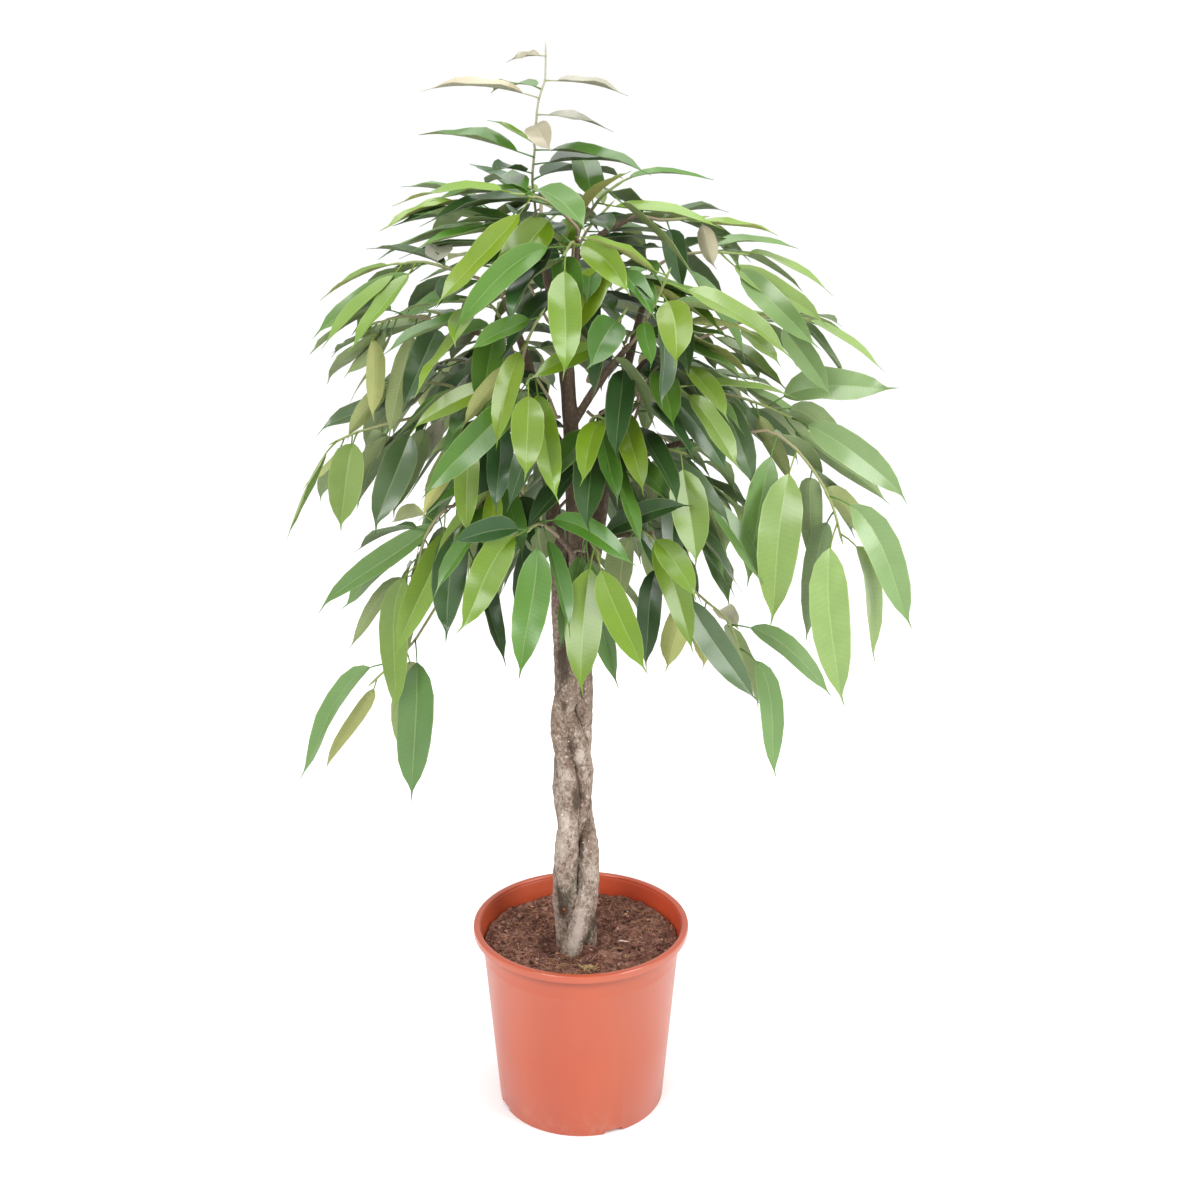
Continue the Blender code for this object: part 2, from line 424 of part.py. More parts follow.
def pot():
    rim_foot = POT_HEIGHT - RIM_DROP
    step = POT_HEIGHT - STEP_BELOW_RIM
    skirt = POT_RIM_RADIUS - POT_WALL
    ceiling = POT_HEIGHT - 0.0028
    inside = [
        (0, FLOOR_TOP - FLOOR_PIT),
        (PAD_RADIUS - 0.003, FLOOR_TOP - FLOOR_PIT),
        (PAD_RADIUS + 0.001, FLOOR_TOP),
        (wall_radius(FLOOR_TOP) - POT_WALL, FLOOR_TOP),
        (wall_radius(rim_foot) - POT_WALL, rim_foot),
        (POT_MOUTH_RADIUS, rim_foot + 0.005),
        (POT_MOUTH_RADIUS + 0.0004, POT_HEIGHT - 0.0012),
        (POT_MOUTH_RADIUS + 0.0020, POT_HEIGHT),
    ]
    outside = [
        (POT_RIM_RADIUS - 0.0022, POT_HEIGHT),
        (POT_RIM_RADIUS - 0.0005, POT_HEIGHT - 0.0010),
        (POT_RIM_RADIUS, POT_HEIGHT - 0.0030),
        (POT_RIM_RADIUS, rim_foot),
        (skirt, rim_foot),
        (skirt, ceiling),
        (wall_radius(ceiling) + 0.0006, ceiling),
        (wall_radius(step) + STEP_OUT, step),
        (wall_radius(step), step - STEP_OUT),
        (POT_FOOT_RADIUS, 0),
        (POT_FOOT_RADIUS - 0.0060, 0),
        (POT_FOOT_RADIUS - 0.0075, FLOOR_RAISE),
        (PAD_RADIUS + 0.003, FLOOR_RAISE),
        (PAD_RADIUS, 0),
        (0, 0),
    ]
    plastic = material("terracotta plastic", (0.62, 0.16, 0.07), 0.42)
    body = turned("pot", inside + outside, POT_SEGMENTS, plastic)
    cutters = []
    for angle in NOTCH_ANGLES:
        cutters.append(notch_cutter(math.radians(angle)))
    for i in range(DRAIN_HOLES):
        cutters.append(drain_cutter(math.tau * (i + 0.5) / DRAIN_HOLES))
    for cutter in cutters:
        boolean(body, cutter, "DIFFERENCE")
    settle(body, *cutters)
    return body


def notch_cutter(angle):
    """A low arch with sloped ends that lets water out under the foot."""
    half = NOTCH_WIDTH / 2
    outline = [(-half, -0.002), (half, -0.002), (half - 0.004, FLOOR_RAISE), (-half + 0.004, FLOOR_RAISE)]
    verts = [(r, y, z) for r in (POT_FOOT_RADIUS - 0.012, POT_FOOT_RADIUS + 0.005) for y, z in outline]
    faces = [(3, 2, 1, 0), (4, 5, 6, 7)] + [(i, (i + 1) % 4, (i + 1) % 4 + 4, i + 4) for i in range(4)]
    cutter = new_object("notch_cutter", verts, faces, None)
    cutter.data.transform(Matrix.Rotation(angle, 4, "Z"))
    return cutter


def drain_cutter(angle):
    place = Matrix.Rotation(angle, 4, "Z") @ Matrix.Translation((DRAIN_CIRCLE, 0, 0))
    rim = [Vector((DRAIN_RADIUS, 0, 0)) for _ in range(DRAIN_SIDES)]
    for k, corner in enumerate(rim):
        corner.rotate(Matrix.Rotation(math.tau * k / DRAIN_SIDES, 3, "Z"))
    rings = [[corner + UP * z for corner in rim] for z in (0.002, 0.012)]
    cutter = new_object("drain_cutter", *ring_tube(rings), None)
    cutter.data.transform(place)
    return cutter


def soil(stems):
    """Peat up to just under the rim, lumpy on top and lower around the trunk."""
    level = SOIL_LEVEL
    edge = wall_radius(level) - POT_WALL - 2 * GAP
    profile = [
        (0, FLOOR_TOP - FLOOR_PIT + GAP),
        (PAD_RADIUS - 0.0035, FLOOR_TOP - FLOOR_PIT + GAP),
        (PAD_RADIUS + 0.0005, FLOOR_TOP + GAP),
        (wall_radius(FLOOR_TOP) - POT_WALL - 2 * GAP, FLOOR_TOP + GAP),
        (edge, level),
        *((edge * part, level) for part in (0.86, 0.68, 0.5, 0.34, 0.18)),
        (0, level),
    ]
    body = turned("soil", profile, SOIL_SEGMENTS, material("peat", (0.09, 0.04, 0.025), 0.95))
    rng = random.Random(SEED)
    for vert in body.data.vertices:
        if vert.co.z < level - 1e-4:
            continue
        reach = math.hypot(vert.co.x, vert.co.y) / edge
        vert.co.z += SOIL_LUMP * rng.uniform(-1, 1) - SOIL_DIP * max(0, 1 - reach) ** 1.5
        if reach > 0.95:
            vert.co.z = level + SOIL_LUMP * rng.uniform(0, 0.6)
    for verts, faces in stems:
        cutter = new_object("stem_cutter", verts, faces, None)
        boolean(body, cutter, "DIFFERENCE")
        settle(body, cutter)
    drop_crumbs(body)
    return body


def drop_crumbs(obj):
    """Keeps the one large body and drops the crumbs shut in between the roots."""
    shape = bmesh.new()
    shape.from_mesh(obj.data)
    left = set(shape.verts)
    bodies = []
    while left:
        body = {left.pop()}
        edge = list(body)
        while edge:
            for link in edge.pop().link_edges:
                for vert in link.verts:
                    if vert not in body:
                        body.add(vert)
                        edge.append(vert)
        left -= body
        bodies.append(body)
    largest = max(bodies, key=len)
    bmesh.ops.delete(shape, geom=[v for v in shape.verts if v not in largest])
    shape.to_mesh(obj.data)
    shape.free()


# ---- stems and limbs ----
def levels():
    """The heights of every stem's rings, closest together through the plait."""
    stops = []
    for low, high, step in (
        (ROOT_TIP, BRAID_FOOT, ROOT_STEP),
        (BRAID_FOOT, BRAID_TOP, BRAID_STEP),
        (BRAID_TOP, TOP_RING, UPPER_STEP),
    ):
        count = round((high - low) / step)
        stops += [low + (high - low) * i / count for i in range(count)]
    return [*stops, TOP_RING]


def stem_axis(name):
    """The stem's axis and radius from its root tip up, at the shared heights."""
    knots = [(Vector((BRAID_X + x * CM, y * CM, z * CM)), STEM_RADIUS) for x, y, z in PLAIT[name]]
    first = knots[0][0]
    root = Vector((BRAID_X + (first.x - BRAID_X) * ROOT_SPREAD, first.y * ROOT_SPREAD, ROOT_TIP))
    knots = [(root, ROOT_TIP_RADIUS), *knots]
    knots[-1] = (knots[-1][0], STEM_TOP_RADIUS)
    knots += [(Vector((x, y, z)) * CM, radius * CM) for x, y, z, radius in STEMS[name]]
    path = smooth_path([point for point, _ in knots], 0.004)
    axis = []
    for z in [z for z in levels() if z < path[-1].z - 0.012] + [path[-1].z]:
        point = at_height(path, z)
        low, high = [pair for pair in zip(knots, knots[1:]) if pair[0][0].z <= z + 1e-6][-1]
        share = (z - low[0].z) / (high[0].z - low[0].z)
        axis.append((point, low[1] + (high[1] - low[1]) * share))
    return axis


def at_height(path, z):
    """The point of a rising path at a height, or nothing above its top."""
    for a, b in zip(path, path[1:]):
        if a.z <= z + 1e-6 <= b.z + 2e-6:
            return a + (b - a) * ((z - a.z) / (b.z - a.z))
    return None


def stem_rings(name, axes, grow=0.0):
    """Level rings round a stem, pressed flat wherever it touches another stem."""
    others = [[point for point, _ in axis] for key, axis in axes.items() if key != name]
    rings = []
    for point, radius in axes[name]:
        ring = []
        for k in range(STEM_SIDES):
            turn = math.tau * k / STEM_SIDES
            way = Vector((math.cos(turn), math.sin(turn), 0))
            reach = radius + grow
            for path in others:
                near = at_height(path, point.z)
                if near is None:
                    continue
                apart = near - point
                facing = way.dot(apart)
                if facing > 1e-6:
                    reach = min(reach, (apart.length / 2 - STEM_GAP / 2 + grow) * apart.length / facing)
            ring.append(point + way * reach)
        rings.append(ring)
    return rings


def root_hole(name, axes):
    """The stem grown by the gap on every side, to cut the soil with."""
    rings = stem_rings(name, axes, GAP)
    rings[0] = [point - UP * GAP for point in rings[0]]
    return ring_tube(rings)


def limb_path(name, axes):
    stem, height, way = LIMBS[name]
    start = at_height([point for point, _ in axes[stem]], height * CM)
    return smooth_path([start, *(Vector(p) * CM for p in way)], LIMB_STEP)


# ---- shoots ----
def shoot_start(name, axes, limbs, bark):
    """Where a twig stands on its limb, just clear of the bark, and the way it leaves."""
    carrier, place, way, _, _ = SHOOTS[name]
    first = Vector(way[0]) * CM
    on_stem = carrier in STEMS
    path = [point for point, _ in axes[carrier]] if on_stem else limbs[carrier]
    if on_stem:
        path = [point for point in path if point.z >= BRAID_TOP]
    point, direction = along(path, place)
    if place == 1.0:
        out = UP.copy() if on_stem else direction
        return point + out * GAP * 1.2, out
    out = first - point
    if on_stem:
        out.z = 0
    else:
        out -= direction * out.dot(direction)
    out.normalize()
    side = out.orthogonal().normalized()
    across = out.cross(side)
    spots = [(i / 2, j / 2) for i in range(-2, 3) for j in range(-2, 3) if abs(i) + abs(j) <= 2]
    skin = BVHTree.FromPolygons(*bark[carrier if on_stem else LIMBS[carrier][0]])
    height = 0.002
    while True:
        centre = point + out * height
        foot = [centre + TWIG_RADIUS * (side * a + across * b) for a, b in spots]
        near = [(spot, *skin.find_nearest(spot)) for spot in foot]
        if all(apart > SEAT and (spot - hit).dot(normal) > 0 for spot, hit, normal, _, apart in near):
            return centre, out
        height += 0.0001


def leaf_curve(base, out, tip):
    """The leaf's midline: out of the twig, over, and down to its drip tip."""
    span = (tip - base).length
    chord = (tip - base) / span
    first = (chord * 0.85 + out * 0.55 + UP * 0.30).normalized()
    last = (chord - UP * 0.30).normalized()
    return base, base + first * span * 0.36, tip - last * span * 0.30, tip


def curve_at(curve, t):
    a, b, c, d = curve
    s = 1 - t
    point = a * s**3 + b * 3 * s * s * t + c * 3 * s * t * t + d * t**3
    way = (b - a) * 3 * s * s + (c - b) * 6 * s * t + (d - c) * 3 * t * t
    return point, way.normalized()


def leaf_rings(curve, width, face, listed, grow=0.0):
    """Rings of right edge, top, left edge and bottom along a leaf, and its tip."""
    rings = []
    for t, half, thick in LISTED_STATIONS if listed else PLAIN_STATIONS:
        point, way = curve_at(curve, t)
        right = face.cross(way).normalized()
        top = way.cross(right)
        if half < 0.01:
            half_width, half_thick, fold = half, thick, 0.0
        else:
            half_width, half_thick, fold = half * width, thick * LEAF_THICKNESS, LEAF_FOLD
        edge = right * math.cos(fold) * (half_width + grow)
        lift = top * math.sin(fold) * half_width
        rise = top * (half_thick + grow)
        rings.append([point + edge + lift, point + rise, point - edge + lift, point - rise])
    tip, way = curve_at(curve, 1.0)
    return rings, tip + way * grow


def leaf_faces(ring_starts, tip):
    """Triangles from ring to ring and to the tip, split the same way above and below."""
    faces = []
    for a, b in zip(ring_starts, ring_starts[1:]):
        for i in range(4):
            j = (i + 1) % 4
            if i % 2 == 0:
                faces += [(a[i], a[j], b[j]), (a[i], b[j], b[i])]
            else:
                faces += [(a[i], a[j], b[i]), (a[j], b[j], b[i])]
    last = ring_starts[-1]
    faces += [(last[i], last[(i + 1) % 4], tip) for i in range(4)]
    return faces


def twig_frames(path, places, total):
    """Frames at the twig's foot and neck, either side of each leaf's node."""
    half = NODE_HALF / total
    stops = [0.0, NECK / total]
    for place in places:
        stops += [place - half, place + half]
    points = [along(path, stop)[0] for stop in stops]
    return turned_frames(points), stops


def twig_ring(frame, radius):
    point, side, across = frame
    turns = [math.tau * k / TWIG_SIDES for k in range(TWIG_SIDES)]
    return [point + radius * (math.cos(turn) * side + math.sin(turn) * across) for turn in turns]


def box_of(verts):
    """The least and greatest corner of some points."""
    return [Vector([pick(v[i] for v in verts) for i in range(3)]) for pick in (min, max)]


class Crown:
    """Grows the shoots one by one and keeps every leaf clear of what is already there."""

    def __init__(self, skins):
        self.solids = []
        for verts, faces in skins:
            self.keep(verts, faces)

    def keep(self, verts, faces):
        self.solids.append((*box_of(verts), BVHTree.FromPolygons(verts, faces)))

    def clear(self, verts, faces):
        low, high = box_of(verts)
        tree = None
        for other_low, other_high, other in self.solids:
            if any(low[i] > other_high[i] or high[i] < other_low[i] for i in range(3)):
                continue
            tree = tree or BVHTree.FromPolygons(verts, faces)
            if tree.overlap(other):
                return False
        return True


def twig_path(start, out, way, shift):
    points = [start, start + out * NECK]
    points += [Vector(p) * CM + shift * min(1.0, (i + 1) / len(way)) for i, p in enumerate(way)]
    return smooth_path(points, 0.012)


def unlisted_leaves(rng, path, listed, count):
    """Leaves in a spiral along the twig, hanging more steeply the lower they are.

    Where a twig also has listed leaves, which fill its front, the others turn to the back.
    """
    taken = [leaf.place for leaf in listed]
    leaves = []
    turn = rng.uniform(0, math.tau)
    for i in range(count):
        share = (i + 0.5) / max(1, count) if listed else i / max(1, count - 1)
        place = FIRST_LEAF + (LAST_LEAF - FIRST_LEAF) * share
        while any(abs(place - other) < CLOSEST_LEAVES for other in taken):
            place -= PLACE_STEP
        place = max(LOWEST_LEAF, place)
        taken.append(place)
        point, way = along(path, place)
        turn += SPIRAL
        side = way.orthogonal().normalized()
        across = way.cross(side)
        outward = Vector((point.x, point.y, 0)).normalized()
        heading = side * math.cos(turn) + across * math.sin(turn) + way * 0.55 + outward * 0.45
        if listed:
            heading.y = abs(heading.y) + 0.3
        heading.z *= 0.3
        heading.normalize()
        rise = min(1.0, max(0.0, (point.z - CROWN_FOOT) / CROWN_HEIGHT))
        droop = LOW_DROOP + (HIGH_DROOP - LOW_DROOP) * rise
        drop = math.radians(droop + rng.uniform(-DROOP_VARIATION, DROOP_VARIATION))
        length = rng.uniform(*LEAF_LENGTHS) * (0.8 if place > 0.93 else 1.0)
        tip = point + length * (heading * math.cos(drop) - UP * math.sin(drop))
        facing = (heading * math.sin(drop) + UP * math.cos(drop)).normalized()
        width = length * rng.uniform(*LEAF_SLIMNESS)
        fresh = place + rng.uniform(-0.25, 0.2)
        tone = 1 if fresh > 0.84 else 2 if fresh > 0.45 else 3
        leaves.append(Leaf(place, tip, width, facing, tone, False))
    return leaves


def grow_twig(crown, name, axes, limbs, bark, rng):
    """The twig with its leaves' places, moved a little until it hangs free."""
    _, _, way, count, rows = SHOOTS[name]
    start, out = shoot_start(name, axes, limbs, bark)
    listed = []
    for place, x, y, z, width, face, tone in rows:
        listed.append(Leaf(place, Vector((x, y, z)) * CM, width * CM, Vector(FACES[face]), tone, True))
    shift = Vector()
    for attempt in range(TWIG_TRIES):
        path = twig_path(start, out, way, shift)
        total = sum((b - a).length for a, b in zip(path, path[1:]))
        leaves = sorted(listed + unlisted_leaves(rng, path, listed, count))
        places = spread_places([leaf.place for leaf in leaves], total)
        frames, stops = twig_frames(path, places, total)
        end, last_way = along(path, 1.0)
        twig = Twig(name, frames, stops, places, leaves, end + last_way * BUD_LENGTH)
        if crown.clear(*twig_skin(twig, CLEARANCE)):
            break
        shift = Vector([rng.uniform(-1, 1) for _ in range(3)]) * 0.004 * (1 + attempt / 6)
    else:
        raise RuntimeError(f"{name} finds no free place")
    crown.keep(*twig_skin(twig, 0.0))
    return twig


def spread_places(wanted, total):
    """Moves leaf places apart along the twig until their nodes don't meet."""
    spacing = NODE_SPACING / total
    places = []
    for place in wanted:
        low = places[-1] + spacing if places else (NECK + NODE_SPACING) / total
        places.append(max(low, place))
    limit = 1 - NODE_HALF / total
    for i in reversed(range(len(places))):
        places[i] = min(places[i], limit)
        limit = places[i] - spacing
    return places


def twig_skin(twig, grow):
    """The bare twig's closed skin, grown everywhere but at its foot."""
    verts = []
    for frame, stop in zip(twig.frames, twig.stops):
        verts += twig_ring(frame, twig_radius(stop) + (grow if stop else 0))
    n = TWIG_SIDES
    faces = [tuple(reversed(range(n)))]
    for a in range(0, len(verts) - n, n):
        faces += [(a + i, a + (i + 1) % n, a + n + (i + 1) % n, a + n + i) for i in range(n)]
    last = len(verts) - n
    verts.append(twig.bud)
    faces += [(last + i, last + (i + 1) % n, last + n) for i in range(n)]
    return verts, faces


def grow_leaf(crown, twig, index, rng):
    radius = twig_radius(twig.places[index])
    below, above = twig.frames[2 + 2 * index], twig.frames[3 + 2 * index]
    centre = (below[0] + above[0]) / 2
    low, high = twig_ring(below, radius), twig_ring(above, radius)
    return fit_leaf(crown, twig.leaves[index], centre, low, high, rng)


def twig_radius(place):
    return TWIG_RADIUS + (TWIG_TIP_RADIUS - TWIG_RADIUS) * place


def fit_leaf(crown, leaf, centre, low, high, rng):
    """Swings the leaf a little at a time until it clears its neighbours, or drops it."""
    tip, face = leaf.tip, leaf.face
    for attempt in range(LEAF_TRIES):
        best = None
        for side in range(TWIG_SIDES):
            nxt = (side + 1) % TWIG_SIDES
            quad = [low[side], low[nxt], high[nxt], high[side]]
            middle = sum(quad, Vector()) / 4
            out = (middle - centre).normalized()
            score = out.dot((tip - centre).normalized()) + 0.25 * out.z
            if best is None or score > best[0]:
                best = (score, side, quad, middle, out)
        _, side, quad, middle, out = best
        curve = leaf_curve(middle, out, tip)
        rings, point = leaf_rings(curve, leaf.width, face, leaf.listed, CLEARANCE)
        root = [middle + (v - middle) * 0.8 + out * CLEARANCE for v in quad]
        verts = root + [v for ring in rings for v in ring] + [point]
        faces = leaf_faces([[4 * r + i for i in range(4)] for r in range(len(rings) + 1)], len(verts) - 1)
        if crown.clear(verts, faces):
            rings, point = leaf_rings(curve, leaf.width, face, leaf.listed)
            crown.keep(root + [v for ring in rings for v in ring] + [point], faces)
            return side, curve, leaf.width, face, leaf.listed
        size = 0.006 + 0.0016 * attempt
        nudge = Vector((rng.uniform(-0.6, 0.6), rng.uniform(-1, 1), rng.uniform(-0.7, 0.7))) * size
        tip = leaf.tip + nudge
        sway = Vector([rng.uniform(-1, 1) for _ in range(3)]) * 0.015 * attempt
        face = (leaf.face.normalized() + sway).normalized()
    return None


def shoot_mesh(twig, grown):
    """One closed skin: a three-sided twig whose side faces are drawn out into leaves."""
    verts, quads = twig_skin(twig, 0.0)
    leafy = {(TWIG_SIDES * (2 + 2 * index), side): leaf for index, (side, *leaf) in grown.items()}
    faces = []
    for quad in quads:
        side = quad[0] % TWIG_SIDES
        found = leafy.get((quad[0] - side, side)) if len(quad) == 4 else None
        if not found:
            faces.append(quad)
            continue
        leaf_part, tip = leaf_rings(*found)
        starts = [best_turn(quad, verts, leaf_part[0])]
        for ring in leaf_part:
            starts.append(list(range(len(verts), len(verts) + 4)))
            verts += ring
        verts.append(tip)
        faces += leaf_faces(starts, len(verts) - 1)
    return verts, faces


def best_turn(quad, verts, ring):
    """The corner to start from, so that the skin from twig to petiole doesn't twist."""
    options = [[quad[(i + k) % 4] for i in range(4)] for k in range(4)]
    centre = sum((verts[i] for i in quad), Vector()) / 4
    middle = sum(ring, Vector()) / 4

    def spread(option):
        pairs = [(verts[v] - centre, point - middle) for v, point in zip(option, ring)]
        return sum((a.normalized() - b.normalized()).length for a, b in pairs)

    return min(options, key=spread)


def grow_stem(name, axes, limbs, bark, earlier):
    """One stem cut clear of the earlier ones and joined with its own limbs."""
    stem = new_object(name, *ring_tube(stem_rings(name, axes)), bark)
    for other in earlier:
        cutter = new_object("stem_cutter", *ring_tube(stem_rings(other, axes, GAP)), None)
        boolean(stem, cutter, "DIFFERENCE")
        settle(stem, cutter)
    drop_crumbs(stem)
    parts = []
    for limb in [limb for limb in LIMBS if LIMBS[limb][0] == name]:
        parts.append(new_object(limb, *tube(limbs[limb], LIMB_RADIUS, LIMB_TIP_RADIUS, LIMB_SIDES), bark))
    for part in parts:
        boolean(stem, part, "UNION")
        settle(stem)
    for part in parts:
        bpy.data.objects.remove(part)
    stem.data.shade_smooth()
    stem.data.set_sharp_from_angle(angle=math.radians(50))
    return [v.co.copy() for v in stem.data.vertices], [tuple(p.vertices) for p in stem.data.polygons]


def grow_crown(axes, limbs, skins):
    """All the twigs first, then their listed leaves and then the others, none touching another."""
    crown = Crown(skins.values())
    rng = random.Random(SEED)
    twigs = [grow_twig(crown, name, axes, limbs, skins, rng) for name in SHOOTS]
    grown = {twig.name: {} for twig in twigs}
    for listed in (True, False):
        for twig in twigs:
            for index, leaf in enumerate(twig.leaves):
                found = grow_leaf(crown, twig, index, rng) if leaf.listed == listed else None
                if found:
                    grown[twig.name][index] = found
    for twig in twigs:
        leaves = grown[twig.name]
        tones = [twig.leaves[index].tone for index in leaves]
        color = TONES[round(sum(tones) / len(tones))]
        new_object(twig.name, *shoot_mesh(twig, leaves), material(twig.name, color, 0.35))


def build():
    for obj in list(bpy.data.objects):
        bpy.data.objects.remove(obj)
    axes = {name: stem_axis(name) for name in STEMS}
    limbs = {name: limb_path(name, axes) for name in LIMBS}
    pot()
    soil([root_hole(name, axes) for name in STEMS])
    bark = material("bark", (0.30, 0.22, 0.17), 0.85)
    skins = {}
    for name in STEMS:
        skins[name] = grow_stem(name, axes, limbs, bark, list(skins))
    grow_crown(axes, limbs, skins)


build()
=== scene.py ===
"""The looks of a braided ficus in a nursery pot: bark, leaves, peat and moulded plastic.

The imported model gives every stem, twig and leaf its place. Each is rebuilt here as a fine mesh round the
same axes: the bark from the stems' own solids, and each leaf as a thin folded blade on its own midrib.
"""
import json
import math
import random

import bmesh
import bpy
from mathutils import Matrix, Vector, noise
from mathutils.bvhtree import BVHTree

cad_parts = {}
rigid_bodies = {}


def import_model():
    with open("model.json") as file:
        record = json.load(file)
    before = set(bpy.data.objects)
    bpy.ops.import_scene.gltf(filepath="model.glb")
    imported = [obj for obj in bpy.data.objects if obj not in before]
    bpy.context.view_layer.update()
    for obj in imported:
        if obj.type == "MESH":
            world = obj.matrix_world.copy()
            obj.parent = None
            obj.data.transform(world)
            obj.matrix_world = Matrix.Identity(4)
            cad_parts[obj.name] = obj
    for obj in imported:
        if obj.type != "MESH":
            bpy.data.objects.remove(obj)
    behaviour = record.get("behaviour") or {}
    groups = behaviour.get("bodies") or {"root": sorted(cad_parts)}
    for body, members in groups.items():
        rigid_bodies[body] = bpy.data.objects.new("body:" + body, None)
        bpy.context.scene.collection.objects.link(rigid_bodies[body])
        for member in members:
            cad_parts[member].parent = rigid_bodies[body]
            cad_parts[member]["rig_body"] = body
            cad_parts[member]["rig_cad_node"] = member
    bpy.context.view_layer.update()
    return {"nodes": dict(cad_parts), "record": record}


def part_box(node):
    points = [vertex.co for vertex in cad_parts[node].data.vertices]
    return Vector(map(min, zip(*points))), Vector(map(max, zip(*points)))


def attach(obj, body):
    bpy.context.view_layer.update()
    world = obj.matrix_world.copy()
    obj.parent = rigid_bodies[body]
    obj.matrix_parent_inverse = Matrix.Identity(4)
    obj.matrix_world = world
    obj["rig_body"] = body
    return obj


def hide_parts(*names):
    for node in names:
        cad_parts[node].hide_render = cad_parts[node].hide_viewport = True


MM = 0.001
UP = Vector((0, 0, 1))
SEED = 5

# ---- pot ----
POT_WALL = 1.6 * MM
WALL_MIDDLE = 0.1
RIM_DROP = 10 * MM
RIM_WIDTH = 8.5 * MM
STEP_BELOW_RIM = 40 * MM
FOOT_RADIUS = 104.6 * MM
WALL_TOP_RADIUS = 124.5 * MM
PAD_RADIUS = 75 * MM
FLOOR_RAISE = 5.5 * MM
FLOOR_TOP = 7.5 * MM
PAD_TOP = 3 * MM
NOTCH_ANGLES = (-67, 23, 113, 203)
NOTCH_WIDTH = 28 * MM
DRAIN_HOLES = 8
DRAIN_RADIUS = 5 * MM
DRAIN_CIRCLE = 87.5 * MM
TURNS = 144

# ---- peat ----
PEAT_LEVEL = 0.2185
PEAT_RINGS = 74
PEAT_SPOKES = 230
PEAT_SKIRT = 12 * MM
PEAT_GAP = 0.5 * MM
NOISE_LEVEL = 3.7
LUMP_HEIGHT = 3.4 * MM
GRIT_HEIGHT = 2.4 * MM
DIP_DEPTH = 4.5 * MM
DIP_REACH = 95 * MM
EDGE_RISE = 1.6 * MM
EDGE_START = 0.88
# Hollows in the peat's top: x and y in mm.
PEAT_HOLLOWS = ((26, -5), (27, 30), (-38, -14), (-38, 16), (-8, -42))
HOLLOW_DEPTH = 6.5 * MM
HOLLOW_SPREAD = 11 * MM
# Painted shade: peat and its crumbs are palest down to SHALLOW below the peat's level and darkest from
# DEEP on.
SHALLOW = 2.5 * MM
DEEP = 9 * MM
TRUNK_X = -9 * MM
TRUNK_REACH = 17 * MM
TRUNK_SINK = 16 * MM
TRUNK_HALF_WIDTH = 34 * MM
TRUNK_HALF_DEPTH = 27 * MM
CRUMBS = 1500
PALE_CRUMBS = 14
FIBRES = 1500
TUFT_STRAWS = 26
TUFT_PLACE = (9, -69)
CRUMB_BROWNS = ("5a382e", "7a5144", "8d6353", "ac8370", "3f251e", "9b7058")
FIBRE_BROWNS = ("a67c62", "b48a6a", "8d6452", "754e3e", "5c372d")
# Splinters on the peat: x and y of both ends and half-thickness in mm, and colour.
PEAT_CHIPS = (
    (45, 3, 60, -5, 1.3, "e8d3c7"), (36, -74, 43, -76, 0.9, "cfa88e"), (46, -57, 49, -58, 1.1, "cdb09a"),
    (19, -61, 22, -62, 1.4, "c8775a"), (1, -66, 5, -72, 1.2, "c2a470"), (4, -71, 9, -69, 1.0, "cdb784"),
    (10, -69, 17, -66, 1.2, "cfba8c"), (12, -72, 15, -74, 0.9, "a08a58"), (74, 4, 80, 2, 1.0, "b99a86"),
)

# ---- bark ----
BARK_VOXEL = 1.4 * MM
BARK_ROUNDING = 14
NEAREST_STEM = 20 * MM
CREASE_START = 1.2 * MM
CREASE_REACH = 5 * MM
# Bark is rough up to this height and turns smooth and young over the next stretch.
ROUGH_UP_TO = 0.62
YOUNG_AFTER = 0.2
# The skin faces the front where its normal's y is below this.
FRONT = 0.3
# Marks on the plait's front: sideways place, height, half-width and half-height in mm, and strength.
STAINS = (
    (-11, 492, 7, 15, 0.8), (-5, 424, 5, 17, 1.0), (4, 424, 4, 12, 0.6), (1, 349, 3.5, 15, 0.9),
    (-19, 546, 4, 9, 0.7), (3, 560, 3, 12, 0.7), (-17, 288, 10, 20, 0.5), (-27, 292, 3.5, 16, 0.6),
    (-22, 262, 7, 16, 0.7), (6, 228, 6, 14, 0.5), (18, 240, 7, 16, 0.6), (12, 403, 5, 8, 0.5),
    (-28, 447, 4, 8, 0.5), (6, 382, 7, 9, 0.4), (-19, 600, 9, 32, 0.9), (-2, 525, 9, 12, 0.35),
)
PALE_PATCHES = (
    (0, 480, 6, 11, 0.9), (-16, 455, 8, 12, 0.6), (-19, 397, 9, 14, 0.7), (-23, 356, 9, 24, 0.6),
    (13, 320, 6, 20, 0.5), (2, 288, 5, 16, 0.5), (0, 262, 6, 12, 0.9), (-3, 243, 7, 12, 1.0),
    (-11, 224, 7, 10, 1.0), (7, 455, 5, 10, 0.5), (-10, 545, 8, 10, 0.4),
)
MOSS = (
    (8, 336, 5, 8, 0.6), (-6, 332, 6, 7, 0.6), (0, 308, 7, 20, 0.6), (-17, 285, 9, 16, 0.6),
    (-10, 306, 6, 14, 0.6), (10, 232, 7, 10, 0.5), (5, 226, 8, 9, 0.8),
)
# Each corner of the bark holds how strongly each of these shows; crease is painted shade where stems press
# together.
BARK_MARKS = ("crease", "stain", "pale", "moss", "young")
# Bits stuck to the bark: sideways place, height and size in mm, and colour.
BARK_BITS = (
    (-22, 402, 2.0, "efe9e0"), (-20, 398, 1.4, "e5ddd0"), (10, 361, 1.6, "efe9e0"),
    (3, 359, 1.5, "ddd3c0"), (-21, 266, 3.0, "c0703c"), (-20, 261, 2.2, "a8562f"),
    (-14, 499, 1.2, "e9e2d6"), (-17, 333, 1.5, "d9cfbf"),
)

